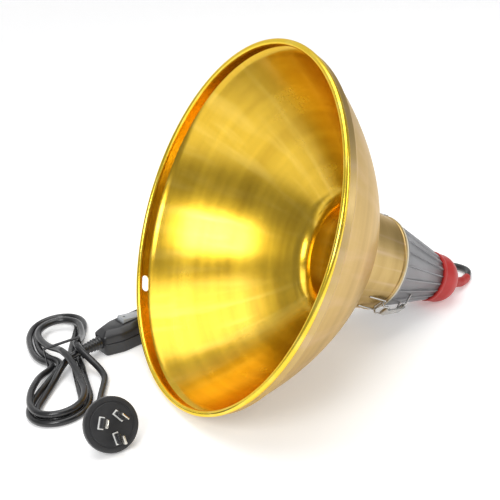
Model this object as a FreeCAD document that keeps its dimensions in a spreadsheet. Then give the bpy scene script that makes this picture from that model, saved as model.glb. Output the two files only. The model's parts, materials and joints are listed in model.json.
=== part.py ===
import FreeCAD, Part
import math
import os
import Sketcher
from FreeCAD import Vector, Placement, Rotation

# Heat lamp fixture: spun shade, finned socket housing, red end cap with cord boot, toggle latch,
# porcelain screw-cap lampholder, and the cord with its in-line switch and flat-pin plug.
# It lies on the floor, on the rim of its shade and on the tip of its cord boot.
# Lamp pieces are drawn about their own axis (Z from the mouth towards the boot) and then tipped over.

doc = FreeCAD.newDocument("heat_lamp")
sheet = doc.addObject("Spreadsheet::Sheet", "dims")

sizes = {
    # spun shade
    "rimRadius": 140.0, "rimBead": 2.3, "bandRadius": 137.6, "bandDepth": 11.0, "bandStep": 2.2,
    "shadeWall": 1.0, "bowlArc": 250.0, "bowlEndRadius": 51.5, "bowlDepth": 99.0,
    "throatArc": 14.0, "neckRoot": 42.0, "neckRootDepth": 108.0,
    "neckEnd": 36.6, "neckDepth": 141.0, "neckBead": 1.6,
    "slotLength": 14.0, "slotWidth": 6.0, "slotDepth": 7.6, "slotAngle": 50.5,
    # neck ring and finned housing
    "ringThick": 1.7, "ringOuter": 37.4, "spigotGap": 0.6, "spigotLength": 9.0,
    "housingLength": 53.2, "finBase": 36.4, "finNose": 20.3, "finHeight": 1.6, "finThick": 1.3,
    "finCount": 20.0, "housingWall": 2.0, "noseLength": 6.5, "noseRadius": 18.2,
    # red cap and cord boot
    "capRadius": 20.9, "capGap": 0.2, "capWall": 1.7, "capSkirt": 10.0, "capDome": 24.5,
    "capHole": 5.0, "capDomeFlat": 4.5, "bootRoot": 4.65, "bootTip": 3.4, "bootTurn": 40.0,
    # cord
    "cordRadius": 2.75,
    # lampholder
    "holderRadius": 20.5, "holderMouth": 119.0, "holderLength": 32.0, "holderTail": 15.0,
    "holderTailLength": 16.0, "shellBore": 13.4, "shellWall": 0.6, "shellLength": 18.6,
    "contactRecess": 5.4,
    "contactRadius": 5.0, "contactStem": 1.6, "contactGap": 0.06, "contactTravel": 1.5,
    "plateThick": 1.5, "plateGap": 0.3,
    # toggle latch
    "latchAngle": -50.0, "wireRadius": 0.75, "leverWidth": 8.0, "leverThick": 1.2,
    "leverFront": 44.2, "leverRear": 38.6, "leverRearDepth": 158.0, "pinGap": 0.08,
    # in-line switch
    "switchLength": 62.0, "switchWidth": 27.0, "switchHeight": 21.0, "switchWall": 2.0,
    "rockerLength": 19.0, "rockerWidth": 11.0, "rockerGap": 0.35,
    # plug
    "plugRadius": 20.0, "plugRim": 6.0, "plugBody": 29.0, "plugBack": 7.6, "plugLift": 25.0,
    "pinLength": 17.06, "earthLength": 19.94, "pinWidth": 6.35, "pinThick": 1.63,
    "pinOffset": 7.92, "earthOffset": 10.31, "sleeveLength": 8.5, "plugBootTip": 3.5,
}

for row, (alias, number) in enumerate(sizes.items(), start=1):
    sheet.set(f"A{row}", alias)
    sheet.set(f"B{row}", str(number))
    sheet.setAlias(f"B{row}", alias)
doc.recompute()


class Size:
    """A number together with the sheet expression that gives it."""

    def __init__(self, number, text):
        self.number = number
        self.text = text

    def join(self, other, sign, number):
        text = other.text if isinstance(other, Size) else f"{other:.6f}"
        return Size(number, f"({self.text} {sign} {text})")

    def __add__(self, other):
        return self.join(other, "+", self.number + float(other))

    def __sub__(self, other):
        return self.join(other, "-", self.number - float(other))

    def __mul__(self, other):
        return self.join(other, "*", self.number * float(other))

    def __truediv__(self, other):
        return self.join(other, "/", self.number / float(other))

    def __neg__(self):
        return Size(-self.number, f"(-1 * {self.text})")

    def __float__(self):
        return float(self.number)


class Sizes:
    def __getattr__(self, alias):
        return Size(float(sheet.get(alias)), f"dims.{alias}")


D = Sizes()
ZERO = Size(0.0, "0")
CAP_TAPER = 0.9


def value(size):
    return float(size)


# ---------------------------------------------------------------- helpers

def arc_middle(p, q, radius, side):
    """Middle of an arc from p to q; side +1 bulges to the left of the way, -1 to the right."""
    dx, dy = q[0] - p[0], q[1] - p[1]
    chord = math.hypot(dx, dy)
    rise = radius - math.sqrt(radius ** 2 - (chord / 2) ** 2)
    return ((p[0] + q[0]) / 2 - side * rise * dy / chord, (p[1] + q[1]) / 2 + side * rise * dx / chord)


def arc_centre(p, q, radius):
    """Centre of the shorter arc from p to q whose centre lies on the side of the lamp axis."""
    dx, dy = q[0] - p[0], q[1] - p[1]
    chord = math.hypot(dx, dy)
    rise = math.sqrt(radius ** 2 - (chord / 2) ** 2)
    return ((p[0] + q[0]) / 2 - rise * dy / chord, (p[1] + q[1]) / 2 + rise * dx / chord)


def origin_plane(body, role):
    return next(feature for feature in body.Origin.OriginFeatures if feature.Role == role)


def new_sketch(body, name, plane):
    sketch = body.newObject("Sketcher::SketchObject", name)
    sketch.AttachmentSupport = [(origin_plane(body, plane), "")]
    sketch.MapMode = "FlatFace"
    return sketch


def tie_point(sketch, geometry, position, x, y):
    """Holds a sketch point at the two sizes x and y, measured from the sketch origin."""
    for kind, size, axis in (("DistanceX", x, -2), ("DistanceY", y, -1)):
        if abs(value(size)) < 1e-9:
            sketch.addConstraint(Sketcher.Constraint("PointOnObject", geometry, position, axis))
            continue
        index = sketch.addConstraint(
            Sketcher.Constraint(kind, -1, 1, geometry, position, value(size)))
        sketch.setExpression(f"Constraints[{index}]", size.text)


def outline(sketch, points, arcs=()):
    """Closed outline through points; arcs is a list of (segment index, radius, side)."""
    bends = {index: (radius, side) for index, radius, side in arcs}
    count = len(points)
    ends = []
    for i in range(count):
        p = (value(points[i][0]), value(points[i][1]))
        q = (value(points[(i + 1) % count][0]), value(points[(i + 1) % count][1]))
        start, end = Vector(p[0], p[1], 0), Vector(q[0], q[1], 0)
        if i in bends:
            middle = arc_middle(p, q, value(bends[i][0]), bends[i][1])
            index = sketch.addGeometry(Part.Arc(start, Vector(middle[0], middle[1], 0), end), False)
            first = 1 if (sketch.Geometry[index].StartPoint - start).Length < 1e-6 else 2
            ends.append((index, first, 3 - first))
        else:
            index = sketch.addGeometry(Part.LineSegment(start, end), False)
            ends.append((index, 1, 2))
    for i in range(count):
        following = ends[(i + 1) % count]
        sketch.addConstraint(
            Sketcher.Constraint("Coincident", ends[i][0], ends[i][2], following[0], following[1]))
        tie_point(sketch, ends[i][0], ends[i][1], points[i][0], points[i][1])
    for i, (radius, side) in bends.items():
        index = sketch.addConstraint(Sketcher.Constraint("Radius", ends[i][0], value(radius)))
        sketch.setExpression(f"Constraints[{index}]", radius.text)


def add_turn(body, name, points, arcs=()):
    """Adds a full revolution about Z of an outline given as (radius, height) points."""
    sketch = new_sketch(body, name + "Profile", "XZ_Plane")
    outline(sketch, points, arcs)
    turn = body.newObject("PartDesign::Revolution", name + "Turn")
    turn.Profile = sketch
    turn.ReferenceAxis = (origin_plane(body, "Z_Axis"), [""])
    turn.Angle = 360
    body.Tip = turn
    return turn


def spun(name, points, arcs):
    """Solid of revolution about Z; its arcs are splines, since their circles would cross the axis."""
    bends = {index: (radius, side) for index, radius, side in arcs}
    spots = [(value(radius), value(height)) for radius, height in points]
    edges = []
    for i, spot in enumerate(spots):
        following = spots[(i + 1) % len(spots)]
        start, end = Vector(spot[0], 0, spot[1]), Vector(following[0], 0, following[1])
        if i in bends:
            middle = arc_middle(spot, following, value(bends[i][0]), bends[i][1])
            edges.append(Part.Arc(start, Vector(middle[0], 0, middle[1]), end).toBSpline().toShape())
        else:
            edges.append(Part.LineSegment(start, end).toShape())
    feature = doc.addObject("Part::Feature", name)
    feature.Shape = Part.Face(Part.Wire(edges)).revolve(Vector(), Vector(0, 0, 1), 360)
    return feature


def bead(name, radius, height, section):
    """Ring of round section about Z, such as a rolled edge."""
    ring = doc.addObject("Part::Torus", name)
    ring.setExpression("Radius1", radius.text)
    ring.setExpression("Radius2", section.text)
    set_place(ring, z=height)
    return ring


def turned(name, points, arcs=()):
    body = doc.addObject("PartDesign::Body", name)
    add_turn(body, name, points, arcs)
    return body


def padded(name, plane, points, length, midplane=True, arcs=()):
    body = doc.addObject("PartDesign::Body", name)
    sketch = new_sketch(body, name + "Outline", plane)
    outline(sketch, points, arcs)
    pad = body.newObject("PartDesign::Pad", name + "Pad")
    pad.Profile = sketch
    pad.setExpression("Length", length.text)
    pad.Midplane = midplane
    body.Tip = pad
    return body


def set_place(thing, x=ZERO, y=ZERO, z=ZERO, turn=None):
    thing.Placement = Placement(Vector(value(x), value(y), value(z)), turn or Rotation())
    for axis, size in (("x", x), ("y", y), ("z", z)):
        if isinstance(size, Size) and size.text != "0":
            thing.setExpression(f"Placement.Base.{axis}", size.text)


def cylinder(name, radius, height, x=ZERO, y=ZERO, z=ZERO, turn=None):
    thing = doc.addObject("Part::Cylinder", name)
    thing.setExpression("Radius", radius.text)
    thing.setExpression("Height", height.text)
    set_place(thing, x, y, z, turn)
    return thing


def box(name, length, width, height, x=ZERO, y=ZERO, z=ZERO, turn=None):
    """A box centred on its place in X and Y, standing on Z; a turned box is turned about that place."""
    thing = doc.addObject("Part::Box", name)
    thing.setExpression("Length", length.text)
    thing.setExpression("Width", width.text)
    thing.setExpression("Height", height.text)
    if turn is None:
        set_place(thing, x - length / 2, y - width / 2, z)
    else:
        corner = turn.multVec(Vector(-value(length) / 2, -value(width) / 2, 0))
        base = Vector(value(x), value(y), value(z)) + corner
        thing.Placement = Placement(base, turn)
    return thing


def cut(name, base, tool):
    thing = doc.addObject("Part::Cut", name)
    thing.Base = base
    thing.Tool = tool
    return thing


def fuse(name, things):
    thing = doc.addObject("Part::MultiFuse", name)
    thing.Shapes = things
    return thing


def group(name, things):
    thing = doc.addObject("Part::Compound", name)
    thing.Links = things
    return thing


def route_wire(points, bend=None):
    """Straight runs joined by tangent arcs: as large as the runs allow, or of one bend radius."""
    edges, radii = [], []
    corners = [Vector(*p) for p in points]
    last = corners[0]
    for before, here, after in zip(corners, corners[1:], corners[2:]):
        incoming, outgoing = here - before, after - here
        shorter = min(incoming.Length, outgoing.Length)
        half = incoming.getAngle(outgoing) / 2
        reach = bend * math.tan(half) if bend else 0.45 * shorter
        radii.append(reach / math.tan(half))
        into, out = incoming.normalize(), outgoing.normalize()
        first, second = here - into * reach, here + out * reach
        inward = (out - into).normalize()
        middle = here + inward * (radii[-1] / math.cos(half) - radii[-1])
        if (first - last).Length > 1e-6:
            edges.append(Part.LineSegment(last, first).toShape())
        edges.append(Part.Arc(first, middle, second).toShape())
        last = second
    edges.append(Part.LineSegment(last, corners[-1]).toShape())
    return Part.Wire(edges), radii


def tube_shape(points, radius, bend=None):
    wire, radii = route_wire(points, bend)
    start = Vector(*points[0])
    ring = Part.Circle(start, Vector(*points[1]) - start, radius).toShape()
    shape = wire.makePipeShell([Part.Wire(ring)], True, True)
    expected = math.pi * radius ** 2 * wire.Length
    if abs(shape.Volume - expected) > 0.02 * expected:
        raise ValueError(f"tube volume {shape.Volume:.1f} is not {expected:.1f}")
    return shape, radii, wire.Length


def tube(name, points, radius, bend=None):
    feature = doc.addObject("Part::Feature", name)
    feature.Shape = tube_shape(points, radius, bend)[0]
    return feature


nodes = []


def node(label, thing, place=None):
    """Registers a finished piece under its own name, at its own place."""
    if thing.Label in [made.Label for made in nodes] or thing.TypeId.startswith("Part::Box"):
        thing = group(label + "Piece", [thing])
    thing.Label = label
    if place is not None:
        thing.Placement = place
    nodes.append(thing)
    return thing


# ---------------------------------------------------------------- how the lamp lies

bead_circle = value(D.rimRadius - D.rimBead)
housing_start = D.neckDepth + D.neckBead + D.ringThick
nose_start = housing_start + D.housingLength
apex = nose_start + D.capDome

# The shade's rim and the cap's dome both touch the floor. Of the rim, either the bead or the band's
# rear corner is lowest: the one that tips the lamp further.
dome_edge = (value(D.capRadius) - CAP_TAPER, value(nose_start + D.capSkirt))
dome_top = (value(D.capHole) + 1.2, value(apex))
dome_radius = value(D.capRadius - D.capDomeFlat)
dome_middle = arc_centre(dome_edge, dome_top, dome_radius)
rests = [(bead_circle, value(D.rimBead), value(D.rimBead)),
         (value(D.bandRadius), value(D.bandDepth), 0.0)]


def tilt_on(rest):
    radial_gap = rest[0] - dome_middle[0]
    axial_gap = dome_middle[1] - rest[1]
    reach = math.acos((dome_radius - rest[2]) / math.hypot(radial_gap, axial_gap))
    return reach - math.atan2(axial_gap, radial_gap)


rest_point = max(rests, key=tilt_on)
tilt = tilt_on(rest_point)
centre_height = rest_point[0] * math.cos(tilt) + rest_point[1] * math.sin(tilt) + rest_point[2]

# The boot leaves the cap along the lamp axis and bends level and sideways along one arc.
boot_start = Vector(value(apex) * math.cos(tilt), 0, centre_height - value(apex) * math.sin(tilt))
boot_in = Vector(math.cos(tilt), 0, -math.sin(tilt))
boot_out = Vector(math.cos(math.radians(value(D.bootTurn))),
                  math.sin(math.radians(value(D.bootTurn))), 0)
boot_bend = boot_in.getAngle(boot_out)
boot_chord_way = (boot_in + boot_out).normalize()
boot_chord = (value(D.bootTip) - boot_start.z) / boot_chord_way.z
boot_tip = boot_start + boot_chord_way * boot_chord

rim_low_x = -bead_circle * math.sin(tilt) - value(D.rimBead) + value(D.rimBead) * math.cos(tilt)
far_x = boot_tip.x + value(D.bootTip) * boot_out.y
shift = Vector(-(rim_low_x + far_x) / 2, 0, 0)

lamp = Placement(shift + Vector(0, 0, centre_height), Rotation(Vector(0, 1, 0), 90 + math.degrees(tilt)))
floor = Placement(shift, Rotation())
print(f"tilt {math.degrees(tilt):.3f} centre height {centre_height:.3f} shift {shift.x:.3f}")


# ---------------------------------------------------------------- shade

def make_shade():
    wall = D.shadeWall
    band_low = D.bandDepth + 1.2
    skin = spun("shadeWallSkin", [
        (D.bandRadius, D.rimBead), (D.bandRadius, D.bandDepth),
        (D.bandRadius - D.bandStep, band_low), (D.bowlEndRadius, D.bowlDepth),
        (D.neckRoot, D.neckRootDepth), (D.neckEnd, D.neckDepth),
        (D.neckEnd - wall, D.neckDepth), (D.neckRoot - wall, D.neckRootDepth),
        (D.bowlEndRadius - wall * 0.6, D.bowlDepth - wall * 0.8),
        (D.bandRadius - D.bandStep - wall * 0.9, band_low - wall * 0.5),
        (D.bandRadius - wall, D.bandDepth - wall * 0.5), (D.bandRadius - wall, D.rimBead),
    ], arcs=[(2, D.bowlArc, -1), (3, D.throatArc, 1), (7, D.throatArc + wall, -1), (8, D.bowlArc - wall, 1)])
    rim_curl = bead("rimCurl", D.rimRadius - D.rimBead, D.rimBead, D.rimBead)
    neck_curl = bead("neckCurl", D.neckEnd, D.neckDepth, D.neckBead)
    body = fuse("shadeCurled", [skin, rim_curl, neck_curl])

    around = Rotation(Vector(0, 0, 1), value(D.slotAngle))
    out = around.multVec(Vector(1, 0, 0))
    across = around.multVec(Vector(0, 1, 0))
    lay = around.multiply(Rotation(Vector(0, 1, 0), 90))
    radius = D.slotWidth / 2
    depth = ZERO + 10.0
    centre = out * (value(D.bandRadius) - 5.0) + Vector(0, 0, value(D.slotDepth))
    half = value(D.slotLength - D.slotWidth) / 2
    bar = box("slotBar", D.slotWidth, D.slotLength - D.slotWidth, depth, *vector_sizes(centre), turn=lay)
    ends = []
    for side in (-1, 1):
        place = centre + across * (half * side)
        ends.append(cylinder(f"slotEnd{side + 2}", radius, depth, turn=lay))
        ends[-1].Placement = Placement(place, lay)
    tool = fuse("slotTool", [bar] + ends)
    node("shade", cut("shadeSlotted", body, tool), lamp)


def vector_sizes(v):
    return ZERO + v.x, ZERO + v.y, ZERO + v.z


make_shade()


# ---------------------------------------------------------------- neck ring, housing, cap, boot

def make_neck_ring():
    low = D.neckDepth + D.neckBead
    inner = D.neckEnd - D.neckBead
    body = turned("neckRingBody", [
        (inner, low), (D.ringOuter, low), (D.ringOuter, housing_start), (inner, housing_start)])
    node("neck_ring", body, lamp)


def make_housing():
    spigot = D.neckEnd - D.neckBead - D.spigotGap
    base = D.finBase - D.finHeight
    nose = D.finNose - D.finHeight
    top = nose_start + D.noseLength
    wall = D.housingWall
    body = doc.addObject("PartDesign::Body", "housingBody")
    flange = housing_start + wall
    add_turn(body, "housingShell", [
        (spigot - wall, housing_start - D.spigotLength), (spigot, housing_start - D.spigotLength),
        (spigot, housing_start), (D.finBase, housing_start), (D.finBase, flange), (base, flange),
        (nose, nose_start), (D.noseRadius, nose_start), (D.noseRadius, top),
        (D.noseRadius - wall, top), (D.noseRadius - wall, nose_start - wall),
        (base - wall, flange + wall), (spigot - wall, flange),
    ])
    sketch = new_sketch(body, "finProfile", "XZ_Plane")
    outline(sketch, [
        (base - wall / 2, flange - wall / 2), (D.finBase, flange - wall / 2), (D.finNose, nose_start),
        (nose - wall / 2, nose_start)])
    fin = body.newObject("PartDesign::Pad", "finPad")
    fin.Profile = sketch
    fin.setExpression("Length", D.finThick.text)
    fin.Midplane = True
    body.Tip = fin
    doc.recompute()
    pattern = body.newObject("PartDesign::PolarPattern", "finPattern")
    pattern.Originals = [fin]
    pattern.Axis = (origin_plane(body, "Z_Axis"), [""])
    pattern.Angle = 360
    pattern.setExpression("Occurrences", D.finCount.text)
    body.Tip = pattern
    node("socket_housing", body, lamp)


def make_cap():
    wall = D.capWall
    skirt = nose_start + D.capSkirt
    tip = apex
    inner = D.noseRadius + D.capGap
    body = spun("capBody", [
        (inner, nose_start), (D.capRadius, nose_start), (D.capRadius - CAP_TAPER, skirt),
        (D.capHole + 1.2, tip), (D.capHole, tip), (D.capHole, tip - wall),
        (D.capRadius - wall - 1.1, skirt), (inner, skirt - 2.0),
    ], arcs=[(2, D.capRadius - D.capDomeFlat, -1), (5, D.capRadius - D.capDomeFlat - 1.0, 1)])
    node("end_cap", body, lamp)


def boot_spine():
    """Arc of the boot, in the floor frame before the shift."""
    radius = boot_chord / (2 * math.sin(boot_bend / 2))
    sag = radius * (1 - math.cos(boot_bend / 2))
    inward = (boot_out - boot_in).normalize()
    middle = (boot_start + boot_tip) * 0.5 - inward * sag
    return Part.Arc(boot_start, middle, boot_tip)


def make_boot():
    arc = boot_spine()
    spine = Part.Wire([arc.toShape()])
    root = Part.Wire([Part.Circle(boot_start, boot_in, value(D.bootRoot)).toShape()])
    tip = Part.Wire([Part.Circle(boot_tip, boot_out, value(D.bootTip)).toShape()])
    tail = spine.makePipeShell([root, tip], True, True)
    inside = value(D.capWall) + 2.2
    neck = Part.makeCylinder(value(D.bootRoot), inside, boot_start - boot_in * inside, boot_in)
    flange = Part.makeCylinder(value(D.capHole) + 2.4, 1.8, boot_start - boot_in * (inside + 1.7), boot_in)
    bore_wire = Part.Wire([Part.Circle(boot_start, boot_in, value(D.cordRadius) + 0.05).toShape()])
    bore = spine.makePipeShell([bore_wire], True, True)
    bore_start = boot_start - boot_in * (inside + 3)
    back = Part.makeCylinder(value(D.cordRadius) + 0.05, inside + 3, bore_start, boot_in)
    shape = tail.fuse([neck, flange]).removeSplitter().cut(bore.fuse(back))
    feature = doc.addObject("Part::Feature", "bootShape")
    feature.Shape = shape
    node("cord_boot", feature, floor)


def make_inner_lead():
    """The cord inside the boot and cap, up to the clamp, stripped beyond it."""
    radius = value(D.cordRadius)
    spine = Part.Wire([boot_spine().toShape()])
    ring = Part.Wire([Part.Circle(boot_start, boot_in, radius).toShape()])
    bent = spine.makePipeShell([ring], True, True)
    straight = Part.makeCylinder(radius, 22.0, boot_start - boot_in * 22.0, boot_in)
    feature = doc.addObject("Part::Feature", "leadShape")
    feature.Shape = bent.fuse(straight).removeSplitter()
    node("inner_lead", feature, floor)


make_neck_ring()
make_housing()
make_cap()
make_boot()
make_inner_lead()


# ---------------------------------------------------------------- lampholder and what it hangs on

holder_floor = D.holderMouth + D.shellLength + 1.5
recess_floor = holder_floor + D.contactRecess
holder_back = D.holderMouth + D.holderLength
tail_back = holder_back + D.holderTailLength


def make_lampholder():
    shell_outer = D.shellBore + D.shellWall
    body = turned("holderBody", [
        (shell_outer + 0.05, D.holderMouth), (D.holderRadius - 1.0, D.holderMouth),
        (D.holderRadius, D.holderMouth + 1.0), (D.holderRadius, holder_back),
        (D.holderTail, holder_back), (D.holderTail, tail_back), (D.contactStem + D.contactGap, tail_back),
        (D.contactStem + D.contactGap, recess_floor), (D.shellBore - 3.0, recess_floor),
        (D.shellBore - 3.0, holder_floor), (shell_outer + 0.05, holder_floor)])
    screws = [(side, cylinder(f"terminalPocket{side + 2}", ZERO + 2.3, ZERO + 8.0,
                              y=ZERO + side * 9.0, z=tail_back - 6.0)) for side in (-1, 1)]
    pockets = fuse("terminalPockets", [pocket for side, pocket in screws])
    node("lampholder", cut("holderPocketed", body, pockets), lamp)

    shell = turned("shellBody", [
        (D.shellBore, D.holderMouth + 1.5), (shell_outer, D.holderMouth + 1.5),
        (shell_outer, holder_floor), (D.shellBore - 3.0, holder_floor),
        (D.shellBore - 3.0, holder_floor - D.shellWall), (D.shellBore, holder_floor - D.shellWall)])
    node("screw_shell", shell, lamp)

    head = recess_floor - D.contactTravel - 3.2
    contact = turned("contactBody", [
        (ZERO, head), (D.contactRadius - 1.5, head), (D.contactRadius, head + 1.2),
        (D.contactStem, head + 1.2), (D.contactStem, tail_back - 2.0), (ZERO, tail_back - 2.0)])
    node("centre_contact", contact, lamp)


def make_holder_fixings():
    level = holder_back
    opening = D.holderTail + D.plateGap
    reach = value(D.finBase - D.finHeight - D.housingWall)
    slope = value(D.finBase - D.finNose) / value(D.housingLength)
    level_depth = value(level - housing_start)
    outer = ZERO + (reach - slope * (level_depth + value(D.plateThick)) - 0.6)
    plate = turned("plateBody", [
        (opening, level), (outer, level), (outer, level + D.plateThick), (opening, level + D.plateThick)])
    node("holder_plate", plate, lamp)

    screws = []
    for side in (-1, 1):
        seat = level + D.plateThick
        head = cylinder(f"plateScrewHead{side + 2}", ZERO + 2.1, ZERO + 1.6, x=ZERO + side * 17.8, z=seat)
        screws.append(head)
    node("plate_screws", group("plateScrewSet", screws), lamp)

    pins = []
    for side in (-1, 1):
        pins.append(cylinder(f"terminal{side + 2}", ZERO + 2.2, ZERO + 7.0, y=ZERO + side * 9.0,
                             z=tail_back - 5.0))
    node("terminals", group("terminalSet", pins), lamp)

    heads = []
    for side in (-1, 1):
        heads.append(cylinder(f"terminalScrew{side + 2}", ZERO + 1.8, ZERO + 1.6, y=ZERO + side * 9.0,
                              z=tail_back + 2.0))
    node("terminal_screws", group("terminalScrewSet", heads), lamp)


def make_clamp_and_cores():
    clamp_low = nose_start + 2.5
    thick = ZERO + 5.0
    base = box("clampBaseBar", ZERO + 4.0, ZERO + 26.0, thick, x=D.cordRadius + 2.2, z=clamp_low)
    bar = box("clampTopBar", ZERO + 3.0, ZERO + 20.0, thick, x=-D.cordRadius - 1.7, z=clamp_low)
    screws, holes = [], []
    for side in (-1, 1):
        for kind, radius, made in (("Screw", 1.3, screws), ("Hole", 1.35, holes)):
            made.append(cylinder(f"clamp{kind}{side + 2}", ZERO + radius, ZERO + 12.6, x=D.cordRadius + 4.2,
                                 y=ZERO + side * 6.6, z=clamp_low + 2.5,
                                 turn=Rotation(Vector(0, 1, 0), -90)))
    drill = fuse("clampDrill", holes)
    node("clamp_base", cut("clampBaseDrilled", base, drill), lamp)
    node("clamp_bar", cut("clampBarDrilled", bar, drill), lamp)
    node("clamp_screws", group("clampScrewSet", screws), lamp)

    lead_end = value(apex) - 22.35
    back = value(tail_back) + 3.65
    middle = (lead_end + back) / 2
    routes = {
        "line_core": [(1.3, 1.0, lead_end), (1.6, 5.4, middle + 3), (1.0, 9.0, middle - 4), (0, 9.0, back)],
        "neutral_core": [
            (1.3, -1.0, lead_end), (1.6, -5.4, middle + 3), (1.0, -9.0, middle - 4), (0, -9.0, back)],
        "earth_core": [(-1.4, 0, lead_end), (-6.4, 0.8, lead_end - 9), (-13.4, 0.3, lead_end - 19),
                       (-18.4, 0, value(holder_back + D.plateThick) + 11.0),
                       (-17.8, 0, value(holder_back + D.plateThick) + 4.15)],
    }
    for name, route in routes.items():
        node(name, tube(name + "Tube", route, 0.95), lamp)
    lug = cylinder("earthScrewHead", ZERO + 2.6, ZERO + 2.4, x=ZERO - 17.8,
                   z=holder_back + D.plateThick + 1.7)
    node("earth_lug", group("earthLugPiece", [lug]), lamp)


make_lampholder()
make_holder_fixings()
make_clamp_and_cores()


# ---------------------------------------------------------------- toggle latch
# Drawn with X outwards from the lamp axis and Y along the rim, then turned to its place on the neck.

latch = lamp.multiply(Placement(Vector(), Rotation(Vector(0, 0, 1), value(D.latchAngle))))
pivot_x = value(D.leverRear)
pivot_z = value(D.leverRearDepth)
front_x = value(D.leverFront)
front_z = value(D.neckDepth)
wire = value(D.wireRadius)
half_lever = value(D.leverWidth) / 2
wire_bend = 1.05


def neck_radius(z):
    run = (z - value(D.neckRootDepth)) / value(D.neckDepth - D.neckRootDepth)
    return value(D.neckRoot) + run * value(D.neckEnd - D.neckRoot)


def fin_radius(z):
    run = (z - value(housing_start)) / value(D.housingLength)
    return value(D.finBase) + run * value(D.finNose - D.finBase)


def make_catch():
    foot = front_z - 20.0
    bar = front_z - 4.0
    high = neck_radius(bar) + 3.0
    low = neck_radius(foot) - 0.4
    half = half_lever + 3.2
    points = [(low, half, foot), (high, half, bar), (high, -half, bar), (low, -half, foot)]
    node("neck_catch", tube("catchTube", points, wire, wire_bend), latch)


def make_pivot_loop():
    foot = pivot_z + 9.0
    half = half_lever + 2.4
    low = fin_radius(foot) - 2.6
    points = [(low, half, foot), (pivot_x, half, pivot_z), (pivot_x, -half, pivot_z), (low, -half, foot)]
    node("pivot_loop", tube("pivotTube", points, wire, wire_bend), latch)


def make_lever():
    barrel = value(D.pinGap) + wire
    thick = value(D.leverThick)
    length = math.hypot(front_x - pivot_x, front_z - pivot_z)
    way = Vector(front_x - pivot_x, 0, front_z - pivot_z).normalize()
    face = Vector(-way.z, 0, way.x)
    if face.x < 0:
        face = face * -1
    start = Vector(pivot_x, -half_lever, pivot_z)
    knuckle = Part.makeCylinder(barrel + thick, 2 * half_lever, start, Vector(0, 1, 0))
    end = Vector(front_x, -half_lever, front_z)
    roll = Part.makeCylinder(barrel + thick, 2 * half_lever, end, Vector(0, 1, 0))
    strip = [start + face * (barrel + thick), end + face * (barrel + thick), end + face * barrel,
             start + face * barrel, start + face * (barrel + thick)]
    plate = Part.Face(Part.makePolygon(strip)).extrude(Vector(0, 2 * half_lever, 0))
    solid = knuckle.fuse([roll, plate]).removeSplitter()
    for place in (start, end):
        solid = solid.cut(Part.makeCylinder(barrel, 4 * half_lever, place - Vector(0, half_lever, 0),
                                            Vector(0, 1, 0)))
    feature = doc.addObject("Part::Feature", "leverShape")
    feature.Shape = solid
    node("toggle_lever", feature, latch)
    return length


def make_bail():
    half = half_lever + 1.2
    tip_z = front_z - 5.9
    low = neck_radius(tip_z) + wire + 1.2
    points = [(front_x, 0.05, front_z), (front_x, half, front_z), (front_x + 0.3, half, tip_z),
              (low, half, tip_z), (low, -half, tip_z), (front_x + 0.3, -half, tip_z),
              (front_x, -half, front_z), (front_x, -0.05, front_z)]
    node("toggle_bail", tube("bailTube", points, wire, wire_bend), latch)


def make_rear_hook():
    """Fixed tongue on the far side, which holds the bead opposite the latch."""
    away = lamp.multiply(Placement(Vector(), Rotation(Vector(0, 0, 1), value(D.latchAngle) + 205)))
    bead_out = D.neckEnd + D.neckBead
    top = housing_start + D.housingWall
    low = D.neckDepth - D.neckBead - 1.5
    body = padded("hookBody", "XZ_Plane", [
        (bead_out - 0.9, low), (bead_out + 1.3, low), (bead_out + 1.3, top + 0.4),
        (D.finBase + 0.1, top + 0.4), (D.finBase + 0.1, housing_start + 0.2),
        (bead_out + 0.1, housing_start + 0.2),
        (bead_out + 0.1, low + 1.0), (bead_out - 0.9, low + 1.0)], D.leverWidth)
    node("rear_hook", body, away)


make_catch()
make_pivot_loop()
make_lever()
make_bail()
make_rear_hook()


# ---------------------------------------------------------------- in-line switch
# Drawn lying along X, standing on Z = 0, then placed on the floor behind the rim.

SWITCH_TURN = 10.0
SWITCH_BOOT = 17.0
switch = Placement(shift + Vector(-57.0, 103.0, 0), Rotation(Vector(0, 0, 1), SWITCH_TURN))
cord_level = D.switchHeight / 2


def switch_plan(grow):
    """Half outlines that narrow towards both cord ends."""
    long = D.switchLength / 2 - grow
    wide = D.switchWidth / 2 - grow
    end = ZERO + (8.0 - grow)
    knee = D.switchLength / 2 - 15.0
    return [(-long, -end), (-knee, -wide), (knee, -wide), (long, -end),
            (long, end), (knee, wide), (-knee, wide), (-long, end)]


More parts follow.
